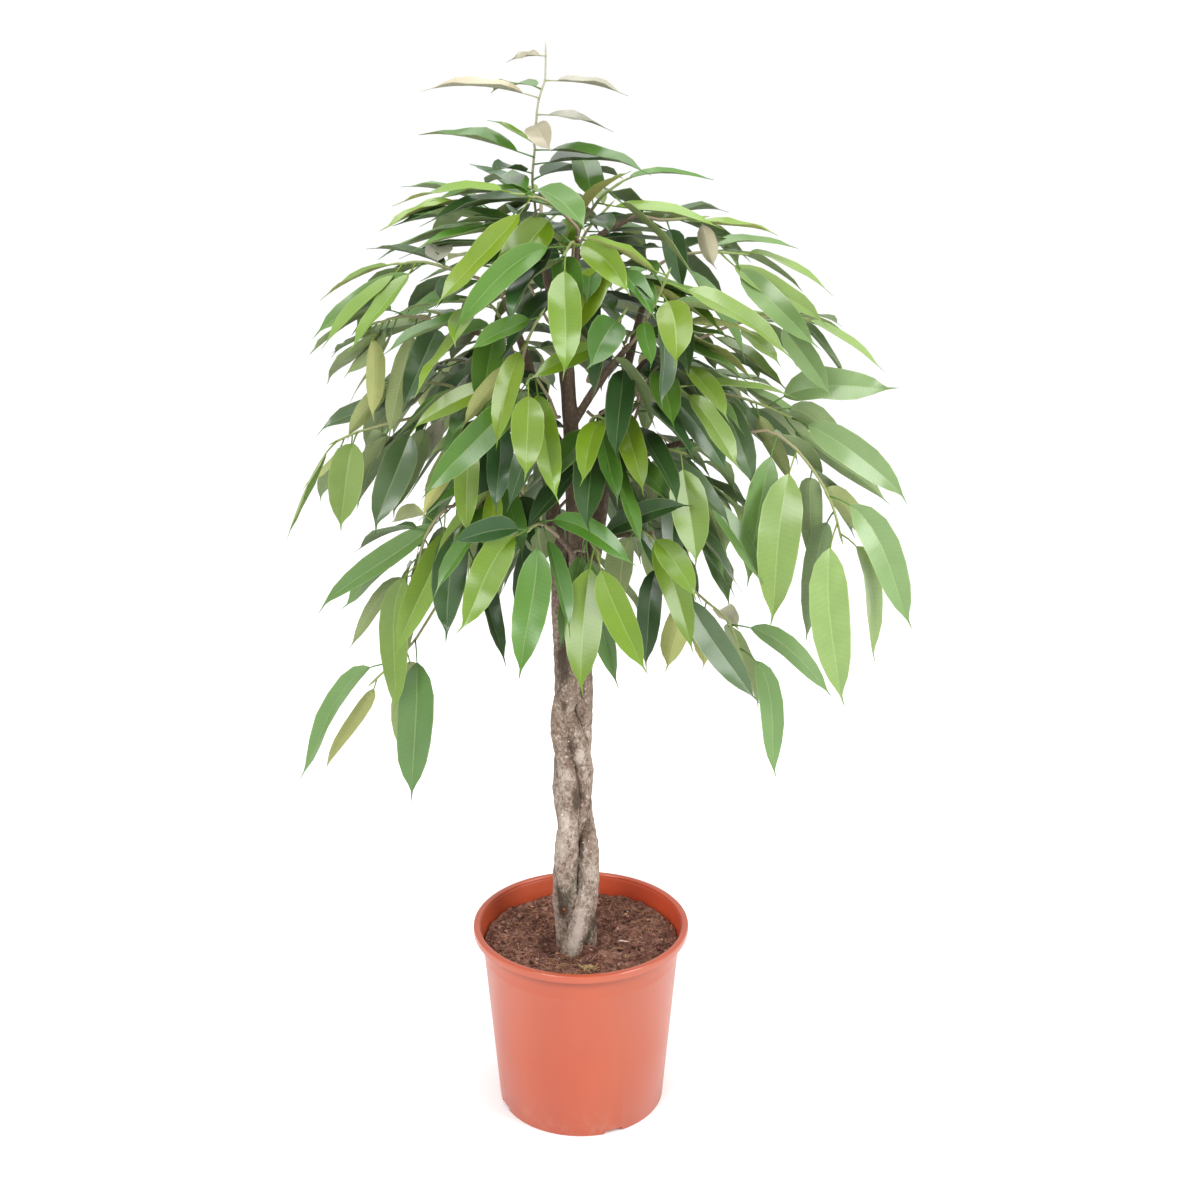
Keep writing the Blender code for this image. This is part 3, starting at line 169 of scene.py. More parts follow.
# ---- leaves: rows along the blade, each with its part of the full width ----
BLADE_ROWS = (
    (0, 0.05), (0.04, 0.38), (0.11, 0.73), (0.22, 0.95), (0.37, 1),
    (0.53, 0.95), (0.68, 0.78), (0.80, 0.50), (0.875, 0.22), (0.92, 0.07), (1, 0),
)
BLADE_COLUMNS = 4
ROWS_ASIDE = 10
NARROWEST = 0.02
BLADE_START = 0.14
BLADE_THICKNESS = 0.5 * MM
MIDRIB_DEPTH = 0.5 * MM
DRIP_TIP = 5 * MM
DRIP_START = 0.9
HOOK_START = 0.86
# How many degrees the solids' blades are folded up, and the least and most for the visible ones.
SOLID_FOLD = 16
FOLDS = (12, 32)
TWIST = 16
# Where along a leaf the solid's widest ring is, for a blade of one ring and of two.
WIDEST_PLACES = (0.50, 0.42)
NECK_SPAN = 4 * MM
PETIOLE_RADIUS = 1.05 * MM
PETIOLE_PLACES = (0.0, 0.06, 0.12, 0.17)
PETIOLE_SHARES = (1.25, 1, 0.9, 0.6)
PETIOLE_ROOT = 1.2 * MM
TWIG_RADIUS = 2.1 * MM
TWIG_TIP_RADIUS = 1.3 * MM
TWIG_STEP = 5 * MM
TWIG_RING = 2.2 * MM
SWELL_REACH = 4 * MM
BUD_LENGTH = 9 * MM
LEADER = "leader_shoot"
LEADER_SLIMNESS = 0.72
# Where leaves get painted shade and light: shade near the trunk, light high up and a pale painted sheen
# out at the sides.
INNER_REACH = 0.17
HIGH_FROM = 1.0
HIGH_OVER = 0.15
SIDE_FROM = 0.1
SIDE_OVER = 0.2

# Each leaf's age from the twig's foot to its tip: p pale and new, f fresh, g grown, d deep and old.
AGES = dict(
    leader_shoot="dddggfpppgpp", crown_front="gfggdgfgf", crown_right="dfdgfggg", right_crest="dddgfgp",
    front_high="dddfggf", front_right_high="dgdgfgff", front_mid_right="dgfgdgg",
    front_mid_left="fdfgfgg", front_centre="ddgfggf", front_left="gggdgff", left_high="dddpggfgff",
    left_upper="dggggggdf", left_reach="ddgdgf", left_long="pgddggfgff", left_low="dgfdfdgggfg",
    left_lowest="dggggf", front_low_left="gggggfd", front_low_mid="gggdgff", front_low_right="ddgff",
    right_low="dddffpggg", right_inner="ddggg", front_right="dgdgf", right_middle_front="dfggdff",
    right_long="ggfdgfgdff", right_reach="dddgfgggg", right_upper="dfggggdf", right_high="ddgggfgf",
)


def rgb(code):
    """A colour's linear values from its usual six digits."""
    parts = [int(code[i : i + 2], 16) / 255 for i in (0, 2, 4)]
    return tuple(p / 12.92 if p <= 0.04045 else ((p + 0.055) / 1.055) ** 2.4 for p in parts)


# The colours of each age's upper side, underside and petiole.
LEAF_COLORS = {
    "p": ("96917d", "a29985", "9a9a76"), "f": ("627e14", "98995a", "6a8424"),
    "g": ("466e21", "788655", "4d7429"), "d": ("2b4a21", "5c6d48", "416c23"),
}
# The pale colour of the sheen painted on leaves out at the crown's sides.
PAINTED_SHEEN = rgb("91a776")
TWIG_TINTS = (rgb("869658"), rgb("8d7a66"))
LEADER_TINTS = (rgb("a5a488"), rgb("75785a"))

# ---- light and camera ----
SKY_STRENGTH = 1.04
# Each lamp's name, place, width and height, and power.
LAMPS = (
    ("key", (-1.5, -2.3, 2.5), (1.2, 1.2), 50),
    ("fill", (2.3, -1.4, 1.9), (1.0, 1.8), 54),
    ("top", (0, 0.2, 3.2), (1.6, 1.6), 40),
)
LAMP_AIM = (0, 0, 0.8)
FLOOR_RADIUS = 120
LENS = 54.43
CAMERA_PLACE = (0.0239, -2.0222, 1.3730)
CAMERA_TILT = 70.874


# ---- materials ----
class Value:
    """A value in a material, on which Python's operators add the maths nodes."""

    def __init__(self, finish, socket):
        self.finish = finish
        self.socket = socket

    def maths(self, operation, *values):
        return self.finish.node("Math", dict(enumerate(values)), operation=operation)

    def __add__(self, other):
        return self.maths("ADD", self, other)

    def __sub__(self, other):
        return self.maths("SUBTRACT", self, other)

    def __rsub__(self, other):
        return self.maths("SUBTRACT", other, self)

    def __mul__(self, other):
        return self.maths("MULTIPLY", self, other)

    def __abs__(self):
        return self.maths("ABSOLUTE", self)

    __radd__ = __add__

    def between(self, low, high):
        """0 below low and 1 above high, with a soft step between."""
        sockets = {"Value": self, "From Min": low, "From Max": high}
        return self.finish.node("MapRange", sockets, interpolation_type="SMOOTHSTEP")


class Finish:
    """A material, built node by node."""

    def __init__(self, name, **fixed):
        self.material = bpy.data.materials.new(name)
        self.material.use_nodes = True
        self.tree = self.material.node_tree
        self.shader = self.tree.nodes["Principled BSDF"]
        sockets = {socket.name.lower().replace(" ", "_"): socket for socket in self.shader.inputs}
        for key, value in fixed.items():
            sockets[key].default_value = value

    def put(self, socket, value):
        """Links a value to the socket, or sets a number, a colour or a colour's six digits."""
        value = rgb(value) if isinstance(value, str) else value
        if isinstance(value, Value):
            self.tree.links.new(value.socket, socket)
        elif isinstance(value, tuple) and len(value) == 3 and len(socket.default_value) == 4:
            socket.default_value = (*value, 1)
        else:
            socket.default_value = value

    def node(self, kind, sockets=None, out=0, stops=None, **settings):
        """One output of a new shader node; stops are a ramp's places and colours."""
        node = self.tree.nodes.new("ShaderNode" + kind)
        for key, value in settings.items():
            setattr(node, key, value)
        if stops:
            ramp = node.color_ramp
            while len(ramp.elements) < len(stops):
                ramp.elements.new(1)
            for element, (place, color) in zip(ramp.elements, stops):
                element.position = place
                element.color = (*rgb(color), 1)
        for key, value in (sockets or {}).items():
            self.put(node.inputs[key], value)
        return Value(self, node.outputs[out])

    def where(self):
        return self.node("TexCoord", out="Object")

    def along_axis(self, axis):
        return self.node("SeparateXYZ", {"Vector": self.where()}, out=axis)

    def stretched(self, x, y, z):
        """The place, scaled along each axis."""
        return self.node("Mapping", {"Vector": self.where(), "Scale": (x, y, z)})

    def noise(self, scale, detail=4, rough=0.55, stretch=None):
        place = self.stretched(*stretch) if stretch else self.where()
        sockets = {"Vector": place, "Scale": scale, "Detail": detail, "Roughness": rough}
        return self.node("TexNoise", sockets)

    def attribute(self, name, out="Fac"):
        """A value or colour that the mesh holds for each of its corners."""
        return self.node("Attribute", attribute_name=name, out=out)

    def mix(self, factor, a, b, blend="MIX"):
        """Colour a blended into colour b by the factor; 6 and 7 are the node's colour sockets."""
        sockets = {"Factor": factor, 6: a, 7: b}
        return self.node("Mix", sockets, out=2, data_type="RGBA", blend_type=blend)

    def color(self, value):
        """Sets the base colour, which lay and shade then change."""
        self.base = value
        self.put(self.shader.inputs["Base Color"], value)

    def lay(self, factor, color):
        """Lays the colour over the base colour, as thickly as the factor says."""
        self.color(self.mix(factor, self.base, color))

    def shade(self, factor, light):
        """Multiplies the base colour by the light, as far as the factor says."""
        self.lay(factor, self.mix(1.0, self.base, light, "MULTIPLY"))

    def roughness(self, value):
        self.put(self.shader.inputs["Roughness"], value)

    def bump(self, height, distance, strength=1.0):
        sockets = {"Strength": strength, "Distance": distance, "Height": height}
        self.put(self.shader.inputs["Normal"], self.node("Bump", sockets))


def pot_finish():
    """Terracotta-coloured plastic, glossiest on the rim, with faint swirls and a little dust low down.

    It has painted shade just under the rim and on the outer wall's right, and painted light inside,
    redder, above all on the right.
    """
    look = Finish("terracotta plastic", coat_roughness=0.16)
    swirl = look.noise(9, 3, 0.5, (1, 1, 0.35))
    grain = look.noise(900, 2, 0.6)
    scuffs = look.noise(130, 4, 0.7, (1, 1, 0.25)).between(0.62, 0.78)
    height = look.along_axis("Z")
    dust = look.noise(55, 5, 0.65).between(0.45, 0.72) * (1 - height.between(0, 0.05)) * 0.3
    look.color(look.mix(swirl.between(0.3, 0.7), "a84526", "b04c29"))
    look.lay(scuffs * 0.14, "9c4530")
    look.lay(dust, "b98d78")
    rim_foot = POT_HEIGHT - RIM_DROP
    facing = {0: look.node("NewGeometry", out="Normal"), 1: look.stretched(1, 1, 0)}
    outward = look.node("VectorMath", facing, out="Value", operation="DOT_PRODUCT")
    outside = outward.between(0.03, 0.09)
    inside = 1 - outward.between(-0.08, -0.02)
    right = look.along_axis("X").between(-0.02, 0.07)
    # Painted shade: a dark band on the outer wall just under the rim's lip.
    under_rim_shade = height.between(rim_foot - 16 * MM, rim_foot - 2 * MM)
    under_rim_shade = under_rim_shade * (1 - height.between(rim_foot, rim_foot + 2 * MM))
    look.lay(under_rim_shade * outside * 0.6, "7a2d18")
    # Painted shade: the outer wall darker on its right side.
    look.lay(right * outside * 0.5, "9b4a30")
    # Painted light: the inner wall redder and brighter, above all on the right.
    look.lay(inside * (0.05 + right * 0.5), "d84c2a")
    rim = height.between(rim_foot, rim_foot + 3 * MM) * outside
    look.put(look.shader.inputs["Coat Weight"], 0.3 + rim * 0.25)
    look.roughness(0.36 + swirl * 0.10 + dust * 0.3)
    look.bump(grain * 0.4 + swirl, 0.12 * MM, 0.35)
    return look.material


def peat_finish():
    """Red-brown peat with pale threads both ways, and painted shade where it lies low."""
    look = Finish("peat", specular_ior_level=0.2)
    coarse = look.noise(85, 6, 0.7)
    fine = look.noise(420, 6, 0.75)
    threads = look.noise(170, 5, 0.7, (1, 4, 1)).between(0.58, 0.66)
    cross = look.noise(170, 5, 0.7, (4, 1, 1)).between(0.58, 0.66)
    stops = ((0.32, "442822"), (0.5, "845b4e"), (0.68, "b68c7a"))
    look.color(look.node("ValToRGB", {"Fac": coarse}, stops=stops))
    look.lay((1 - fine).between(0.5, 0.66) * 0.45, "3b241c")
    look.lay((threads + cross) * 0.35, "b58f70")
    # Painted shade: darker where the peat lies low.
    low = 1 - look.along_axis("Z").between(PEAT_LEVEL - DEEP, PEAT_LEVEL - SHALLOW)
    look.shade(low * 0.75, (0.5, 0.46, 0.47))
    mounds = look.noise(30, 3, 0.5)
    look.shade(mounds.between(0.45, 0.65) * 0.5, (0.66, 0.62, 0.62))
    look.roughness(0.85 + fine * 0.12)
    look.bump(fine + coarse * 0.6 + threads * 0.2 + cross * 0.2, 1.6 * MM)
    return look.material


def crumb_finish():
    """Crumbs, straws and chips in their own tints, roughened."""
    look = Finish("peat crumbs", specular_ior_level=0.25)
    tint = look.attribute("tint", "Color")
    fine = look.noise(500, 4, 0.65)
    look.color(look.mix(fine.between(0.4, 0.75) * 0.45, tint, "3a231c"))
    look.roughness(0.85)
    look.bump(fine, 0.5 * MM, 0.8)
    return look.material


def bark_finish():
    """Grey-beige bark: broad patches, dark and pale flecks, cross lines, painted shade in the creases,
    stains and moss.
    """
    look = Finish("bark", specular_ior_level=0.25)
    patches = look.noise(36, 5, 0.6, (1, 1, 0.5))
    flecks = look.noise(330, 6, 0.8, (1, 1, 0.7))
    clusters = look.noise(110, 3, 0.6)
    upper = look.along_axis("Z").between(0.43, 0.56)
    lines = look.noise(140, 4, 0.65, (0.4, 0.4, 2.4))
    pores = look.noise(700, 3, 0.7)
    crease, stain, pale, moss, young = [look.attribute(mark) for mark in BARK_MARKS]
    stops = ((0.3, "69574a"), (0.44, "907c6f"), (0.58, "a79689"), (0.76, "c2b3a5"))
    look.color(look.node("ValToRGB", {"Fac": patches}, stops=stops))
    look.lay(upper * 0.45, "7d6b5b")
    look.lay((flecks + clusters * 0.4).between(0.70, 0.81) * 0.72, "54432f")
    look.lay((1.4 - flecks - clusters * 0.4).between(0.74, 0.86) * 0.7, "dacfc1")
    look.lay(lines.between(0.56, 0.68) * 0.5, "75645a")
    look.lay(pores.between(0.56, 0.66) * 0.5, "564639")
    look.lay((pale + 0.5 - flecks).between(0.1, 0.75) * 0.65, "cdc1b4")
    look.lay(young * 0.8, "6b5a4a")
    look.lay((stain + flecks - 0.5).between(0.08, 0.7) * 0.85, "483b31")
    look.lay((moss + flecks * 2.4 - 1.3).between(0.1, 0.9) * 0.75, "50543d")
    # Painted shade in the creases where stems press on each other.
    look.lay((crease + flecks * 1.2 - 0.6).between(0.1, 0.9) * 0.8, "493c33")
    look.roughness(0.78 + flecks * 0.15)
    look.bump((1 - flecks) * 0.9 - lines * 0.4 + patches - pores * 0.3, 2.6 * MM, 0.95)
    return look.material


def blade_finish(name, vein, margin, gloss, bump, coat):
    """A leaf's skin: its own tint, a lighter midrib and margin, and fine veins out to the margin."""
    look = Finish(name, coat_weight=coat, coat_roughness=0.19, specular_ior_level=0.3)
    tint = look.attribute("tint", "Color")
    place = look.node("UVMap", uv_map="blade")
    across = look.node("SeparateXYZ", {"Vector": place}, out="X")
    along = look.node("SeparateXYZ", {"Vector": place}, out="Y")
    off = abs(across - 0.5)
    midrib = 1 - off.between(0.005, 0.03)
    edge = off.between(0.455, 0.49)
    wave = look.node("Math", {0: (along * 28 - off * 2.5) * math.tau}, operation="SINE") * 0.5 + 0.5
    cloud = look.noise(26, 4, 0.6)
    fleck = look.noise(210, 3, 0.6)
    look.color(tint)
    look.shade(cloud.between(0.3, 0.75) * 0.32, (0.55, 0.66, 0.5))
    look.shade(wave.between(0.3, 1) * 0.07, (1.6, 1.5, 1.4))
    look.shade(fleck.between(0.5, 0.8) * 0.12, (0.6, 0.7, 0.6))
    look.lay(midrib * vein, look.mix(0.3, tint, "cdd79a"))
    look.lay(edge * margin, look.mix(0.3, tint, "d5d89a"))
    look.roughness(gloss + cloud * 0.12)
    look.bump(wave * bump + cloud * 0.5 - midrib * 0.6 + fleck * 0.15, 0.5 * MM, 0.6)
    return look.material


def twig_finish():
    """Twigs and petioles in their own tints, speckled with bark."""
    look = Finish("green twig", specular_ior_level=0.4)
    tint = look.attribute("tint", "Color")
    speckle = look.noise(380, 4, 0.65)
    look.color(look.mix(speckle.between(0.45, 0.75) * 0.35, tint, "6b5a44"))
    look.roughness(0.5 + speckle * 0.15)
    look.bump(speckle, 0.3 * MM, 0.5)
    return look.material


def floor_finish():
    look = Finish("pale floor", specular_ior_level=0.2)
    look.color(look.mix(look.noise(1.5, 2), "fbfbfb", "fefefe"))
    look.roughness(0.6)
    return look.material


# ---- meshes ----
def deselect():
    bpy.ops.object.select_all(action="DESELECT")


def only(piece):
    """Leaves this piece selected and active, and nothing else."""
    deselect()
    piece.select_set(True)
    bpy.context.view_layer.objects.active = piece


def shown(piece):
    """The object, once it is in the scene."""
    bpy.context.scene.collection.objects.link(piece)
    return piece


def add_mesh(name, verts, faces, *finishes, edges=()):
    """A new object with these corners, faces and finishes."""
    mesh = bpy.data.meshes.new(name)
    mesh.from_pydata([tuple(v) for v in verts], edges, faces)
    for finish in finishes:
        mesh.materials.append(finish)
    return shown(bpy.data.objects.new(name, mesh))


def stand_for(piece, slot, *nodes):
    """Says which body the piece rides on and hides the CAD nodes it replaces; its material slot is not
    used.
    """
    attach(piece, "root")
    if nodes:
        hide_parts(*nodes)


def apply_modifier(piece, kind, **settings):
    modifier = piece.modifiers.new(kind.lower(), kind)
    for key, value in settings.items():
        setattr(modifier, key, value)
    only(piece)
    bpy.ops.object.modifier_apply(modifier=modifier.name)


def smooth_path(points, step):
    """Points every step along a smooth curve through the given ones."""
    ends = [2 * points[0] - points[1], *points, 2 * points[-1] - points[-2]]
    path = []
    for a, b, c, d in zip(ends, ends[1:], ends[2:], ends[3:]):
        parts = max(1, round((c - b).length / step))
        for i in range(parts):
            t = i / parts
            square = (2 * a - 5 * b + 4 * c - d) * t**2
            cube = (3 * (b - c) + d - a) * t**3
            path.append(0.5 * (2 * b + (c - a) * t + square + cube))
    return [*path, points[-1].copy()]


def frames_along(path):
    """Two side vectors at each point of a path, which never twist about it."""
    ways = [(b - a).normalized() for a, b in zip(path, path[1:])]
    ways = [ways[0]] + [(a + b).normalized() for a, b in zip(ways, ways[1:])] + [ways[-1]]
    side = ways[0].orthogonal().normalized()
    frames = []
    for point, way in zip(path, ways):
        side = (side - way * side.dot(way)).normalized()
        frames.append((point, side, way.cross(side)))
    return frames


class Skin:
    """The faces of a piece, each with its finish, its tint and its place on the blade."""

    def __init__(self):
        self.verts = []
        self.faces = []
        self.finishes = []
        self.tints = []
        self.places = []
        self.creases = set()

    def face(self, corners, finish, tint, places=None):
        """Adds a face, in mid-blade if its corners have no places of their own."""
        self.faces.append(corners)
        self.finishes.append(finish)
        self.tints += [tint] * len(corners)
        self.places += places or [(0.25, 0.5)] * len(corners)

    def tube(self, path, radii, sides, finish, tints):
        """A closed tube along a path, with a radius and a tint for each of its points."""
        start = len(self.verts)
        for (point, side, across), radius in zip(frames_along(path), radii):
            for k in range(sides):
                turn = math.tau * k / sides
                self.verts.append(point + radius * (math.cos(turn) * side + math.sin(turn) * across))
        self.face([start + k for k in reversed(range(sides))], finish, tints[0])
        for ring in range(len(path) - 1):
            low = start + ring * sides
            for k in range(sides):
                j = (k + 1) % sides
                self.face([low + k, low + j, low + sides + j, low + sides + k], finish, tints[ring])
        last = start + (len(path) - 1) * sides
        self.face([last + k for k in range(sides)], finish, tints[-1])

    def piece(self, name, *finishes):
        piece = add_mesh(name, self.verts, self.faces, *finishes)
        mesh = piece.data
        mesh.polygons.foreach_set("material_index", self.finishes)
        tint = mesh.attributes.new("tint", "FLOAT_COLOR", "CORNER")
        tint.data.foreach_set("color", [part for color in self.tints for part in (*color, 1)])
        blade = mesh.uv_layers.new(name="blade")
        blade.uv.foreach_set("vector", [part for place in self.places for part in place])
        mesh.shade_smooth()
        for edge in mesh.edges:
            edge.use_edge_sharp = tuple(sorted(edge.vertices)) in self.creases
        return piece


# ---- reading the shoots ----
def rings_from(tip, size):
    """The rings of corners met on the way from a tip, while each has this size."""
    rings = []
    seen = {tip}
    edge = [tip]
    while True:
        ring = {link.other_vert(vert) for vert in edge for link in vert.link_edges} - seen
        if len(ring) != size:
            return rings
        rings.append(sorted(ring, key=lambda vert: vert.index))
        seen |= ring
        edge = ring


def is_bud(vert):
    """Whether a corner is the point of a three-sided twig."""
    ways = [(link.other_vert(vert).co - vert.co).normalized() for link in vert.link_edges]
    return len(ways) == 3 and min(a.dot(b) for a in ways for b in ways) > 0


def reach_from(start, verts):
    """How far each of the corners is from the start, along the edges."""
    reach = {start: 0.0}
    queue = [start]
    while queue:
        vert = queue.pop(0)
        for link in vert.link_edges:
            other = link.other_vert(vert)
            far = reach[vert] + link.calc_length()
            if other in verts and far < reach.get(other, math.inf):
                reach[other] = far
                queue.append(other)
    return reach


def middle(ring):
    return sum((vert.co for vert in ring), Vector()) / len(ring)


def span(ring):
    """The greatest distance between two of a ring's corners."""
    return max((a.co - b.co).length for a in ring for b in ring)


def read_leaf(tip):
    """A leaf's midline, as a curve's four control points, its width, its upper side and its root.

    None unless the corner is a leaf's tip: one with rings of four below it that narrow to a petiole.
    """
    rings = rings_from(tip, 4)
    necks = [i for i, ring in enumerate(rings) if span(ring) < NECK_SPAN]
    if not necks or necks[0] == len(rings) - 1:
        return None
    neck = necks[0]
    root, petiole, widest = rings[neck + 1], rings[neck], rings[neck - 1]
    pairs = ((a, b) for a in widest for b in widest)
    right, left = max(pairs, key=lambda pair: (pair[0].co - pair[1].co).length)
    centre = sum((vert.co for vert in widest if vert not in (right, left)), Vector()) / 2
    across = right.co - left.co
    start, end = middle(root), tip.co.copy()
    place = WIDEST_PLACES[neck == 2]
    curve = curve_through(start, middle(petiole), BLADE_START, centre, place, end)
    way = curve_at(curve, place)[1]
    top = way.cross(across).normalized()
    lift = (right.co + left.co) / 2 - centre
    if top.dot(lift) < 0:
        top = -top
    blade = {vert for ring in rings[: neck + 1] for vert in ring} | {tip}
    return {"curve": curve, "width": across.length, "top": top, "root": root, "blade": blade}


def curve_through(start, near, near_place, far, far_place, end):
    """The control points of the curve from start to end that passes two points at given places."""
    rows = []
    for point, t in ((near, near_place), (far, far_place)):
        s = 1 - t
        rows.append((3 * s * s * t, 3 * s * t * t, point - start * s**3 - end * t**3))
    (a, b, p), (c, d, q) = rows
    scale = a * d - b * c
    return start, (p * d - q * b) / scale, (q * a - p * c) / scale, end


def curve_at(curve, t):
    """The point on the curve at a place from 0 to 1, and the way it runs there."""
    a, b, c, d = curve
    s = 1 - t
    point = a * s**3 + b * 3 * s * s * t + c * 3 * s * t * t + d * t**3
    way = (b - a) * 3 * s * s + (c - b) * 6 * s * t + (d - c) * 3 * t * t
    return point, way.normalized()


def read_shoot(node):
    """A shoot's twig, as points from its foot on, its bud, and its leaves in order along the twig."""
    shape = bmesh.new()
    shape.from_mesh(node.data)
    bmesh.ops.remove_doubles(shape, verts=shape.verts, dist=0.01 * MM)
    shape.verts.index_update()
    leaves = [read_leaf(vert) for vert in shape.verts if len(vert.link_edges) == 4]
    leaves = [leaf for leaf in leaves if leaf]
    blades = set().union(*(leaf["blade"] for leaf in leaves))
    stalk = [vert for vert in shape.verts if vert not in blades]
    bud = next(vert for vert in stalk if is_bud(vert))
    reach = reach_from(bud, set(stalk))
    for leaf in leaves:
        leaf["reach"] = min(reach[vert] for vert in leaf["root"])
    leaves.sort(key=lambda leaf: -leaf["reach"])
    stalk.remove(bud)
    twig = middles_along(stalk, reach)
    tip = bud.co.copy()
    shape.free()
    return twig, tip, leaves


def middles_along(stalk, reach):
    """The middles of a twig's rings of corners, the one farthest from the bud first."""
    rings = []
    for vert in sorted(stalk, key=lambda vert: -reach[vert]):
        if rings and reach[rings[-1][0]] - reach[vert] < TWIG_RING:
            rings[-1].append(vert)
        else:
            rings.append([vert])
    return [middle(ring) for ring in rings]


# ---- leaves ----
def pick(piece, test):
    """Selects only the vertices that pass the test, in edit mode."""
    shape = bmesh.from_edit_mesh(piece.data)
    for vert in shape.verts:
        vert.select = test(vert.co)
    shape.select_flush_mode()
    bmesh.update_edit_mesh(piece.data)


def blade_pattern():
    """A flat leaf one long and one wide to each side, made once for all the leaves."""
    rows = len(BLADE_ROWS) - 1
    deselect()
    bpy.ops.mesh.primitive_grid_add(x_subdivisions=BLADE_COLUMNS, y_subdivisions=rows, size=2)
    piece = bpy.context.object
    bpy.ops.object.mode_set(mode="EDIT")
    bpy.ops.mesh.select_mode(type="VERT")
    # Finished rows wait ROWS_ASIDE further on, where no later pick meets them.
    for row, (place, share) in enumerate(BLADE_ROWS):
        level = 2 * row / rows - 1
        pick(piece, lambda co: abs(co.y - level) < 0.01)
        bpy.ops.transform.resize(value=(max(share, 0.001), 1, 1), center_override=(0, 0, 0))
        bpy.ops.transform.translate(value=(0, ROWS_ASIDE + place - level, 0))
    bpy.ops.mesh.select_all(action="SELECT")
    bpy.ops.transform.translate(value=(0, -ROWS_ASIDE, 0))
    pick(piece, lambda co: co.y > 0.999)
    bpy.ops.mesh.merge(type="CENTER")
    bpy.ops.mesh.select_all(action="SELECT")
    bpy.ops.mesh.quads_convert_to_tris(quad_method="FIXED")
    bpy.ops.object.mode_set(mode="OBJECT")
    for _ in range(2):
        piece.data.materials.append(None)
    apply_modifier(piece, "SOLIDIFY", thickness=0.01, offset=-1, material_offset=1, use_rim=True)
    return piece


class Blade:
    """The pattern's corners and faces, from which every leaf is bent."""

    def __init__(self, piece):
        mesh = piece.data
        self.corners = [v.co.copy() for v in mesh.vertices]
        self.faces = [tuple(p.vertices) for p in mesh.polygons]
        self.below = [p.material_index for p in mesh.polygons]
        self.places = [[uv_place(self.corners[v]) for v in face] for face in self.faces]
        shape = bmesh.new()
        shape.from_mesh(mesh)
        creases = [edge for edge in shape.edges if edge.calc_face_angle() > 1 or on_midrib(*edge.verts)]
        self.creases = [tuple(sorted(vert.index for vert in edge.verts)) for edge in creases]
        shape.free()
        bpy.data.objects.remove(piece)


def on_midrib(*verts):
    """Whether these corners of the flat pattern are on its upper side's midline."""
    return all(abs(vert.co.x) < 0.001 and vert.co.z > -0.001 for vert in verts)


def uv_place(corner):
    """How far across the blade a corner is, 0.5 on the midrib, and how far along it."""
    share = share_at(corner.y)
    return 0.5 + 0.5 * corner.x / max(share, NARROWEST), corner.y


def share_at(place):
    """The part of the full width that the blade has at a place along it."""
    return min(BLADE_ROWS, key=lambda row: abs(row[0] - place))[1]


def add_leaf(skin, blade, leaf, age, rng):
    """The blade bent along the leaf's own midrib, folded and waved, on its petiole."""
    curve, top = leaf["curve"], leaf["top"]
    face_color, under_color, stalk_color = LEAF_COLORS[age]
    # Painted shade, light and sheen by where the leaf sits in the crown.
    tint = by_reach(varied(rgb(face_color), rng, 0.16), curve[2])
    under = by_reach(varied(rgb(under_color), rng, 0.12), curve[2])
    fold = math.radians(rng.uniform(*FOLDS))
    half = leaf["width"] / 2 / math.cos(math.radians(SOLID_FOLD))
    twist = math.radians(rng.uniform(-TWIST, TWIST))
    ripple = rng.uniform(0.07, 0.2) * half
    ripples = rng.uniform(1.2, 2.1)
    phase = [rng.uniform(0, math.tau) for _ in range(2)]
    bow = rng.uniform(-0.18, 0.18) * half
    hook = rng.uniform(-0.24, 0.24)
    start = len(skin.verts)
    for corner in blade.corners:
        place = corner.y
        point, way = curve_at(curve, BLADE_START + (1 - BLADE_START) * place)
        point += way * DRIP_TIP * max(0, place - DRIP_START) / (1 - DRIP_START)
        right = top.cross(way).normalized()
        right.rotate(Matrix.Rotation(twist * (place - 0.3), 3, way))
        upward = way.cross(right)
        out = corner.x * half
        edge = abs(corner.x) / max(share_at(place), NARROWEST)
        wave = ripple * math.sin(math.tau * ripples * place + phase[corner.x > 0]) * edge**1.5
        dome = 0.03 * abs(out) * (1 - edge)
        lift = abs(out) * math.sin(fold) + dome + wave * math.sin(math.pi * place)
        if corner.z < -0.001:
            lift -= BLADE_THICKNESS + MIDRIB_DEPTH * (1 - place) * (1 - min(1, 3 * edge))
        lean = bow * math.sin(math.pi * place) * place + hook * max(0, place - HOOK_START) ** 2
        skin.verts.append(point + right * (out * math.cos(fold) + lean) + upward * lift)
    for face, below, places in zip(blade.faces, blade.below, blade.places):
        skin.face([start + v for v in face], below, under if below else tint, places)
    skin.creases |= {(start + a, start + b) for a, b in blade.creases}
    add_petiole(skin, curve, top, varied(rgb(stalk_color), rng, 0.1))


def add_petiole(skin, curve, top, green):
    """The leaf's stalk, from inside the twig to under the blade."""
    stalk = [curve_at(curve, t)[0] - top * 0.15 * MM * i for i, t in enumerate(PETIOLE_PLACES)]
    stalk[0] -= (stalk[1] - stalk[0]).normalized() * PETIOLE_ROOT
    radii = [PETIOLE_RADIUS * share for share in PETIOLE_SHARES]
    skin.tube(stalk, radii, 4, 2, [green] * 4)


def varied(color, rng, amount):
    """The colour a little lighter or darker, warmer or cooler."""
    light = 1 + rng.uniform(-amount, amount)
    warm = rng.uniform(-amount, amount) * 0.5
    return color[0] * light * (1 + warm), color[1] * light, color[2] * light * (1 - warm)


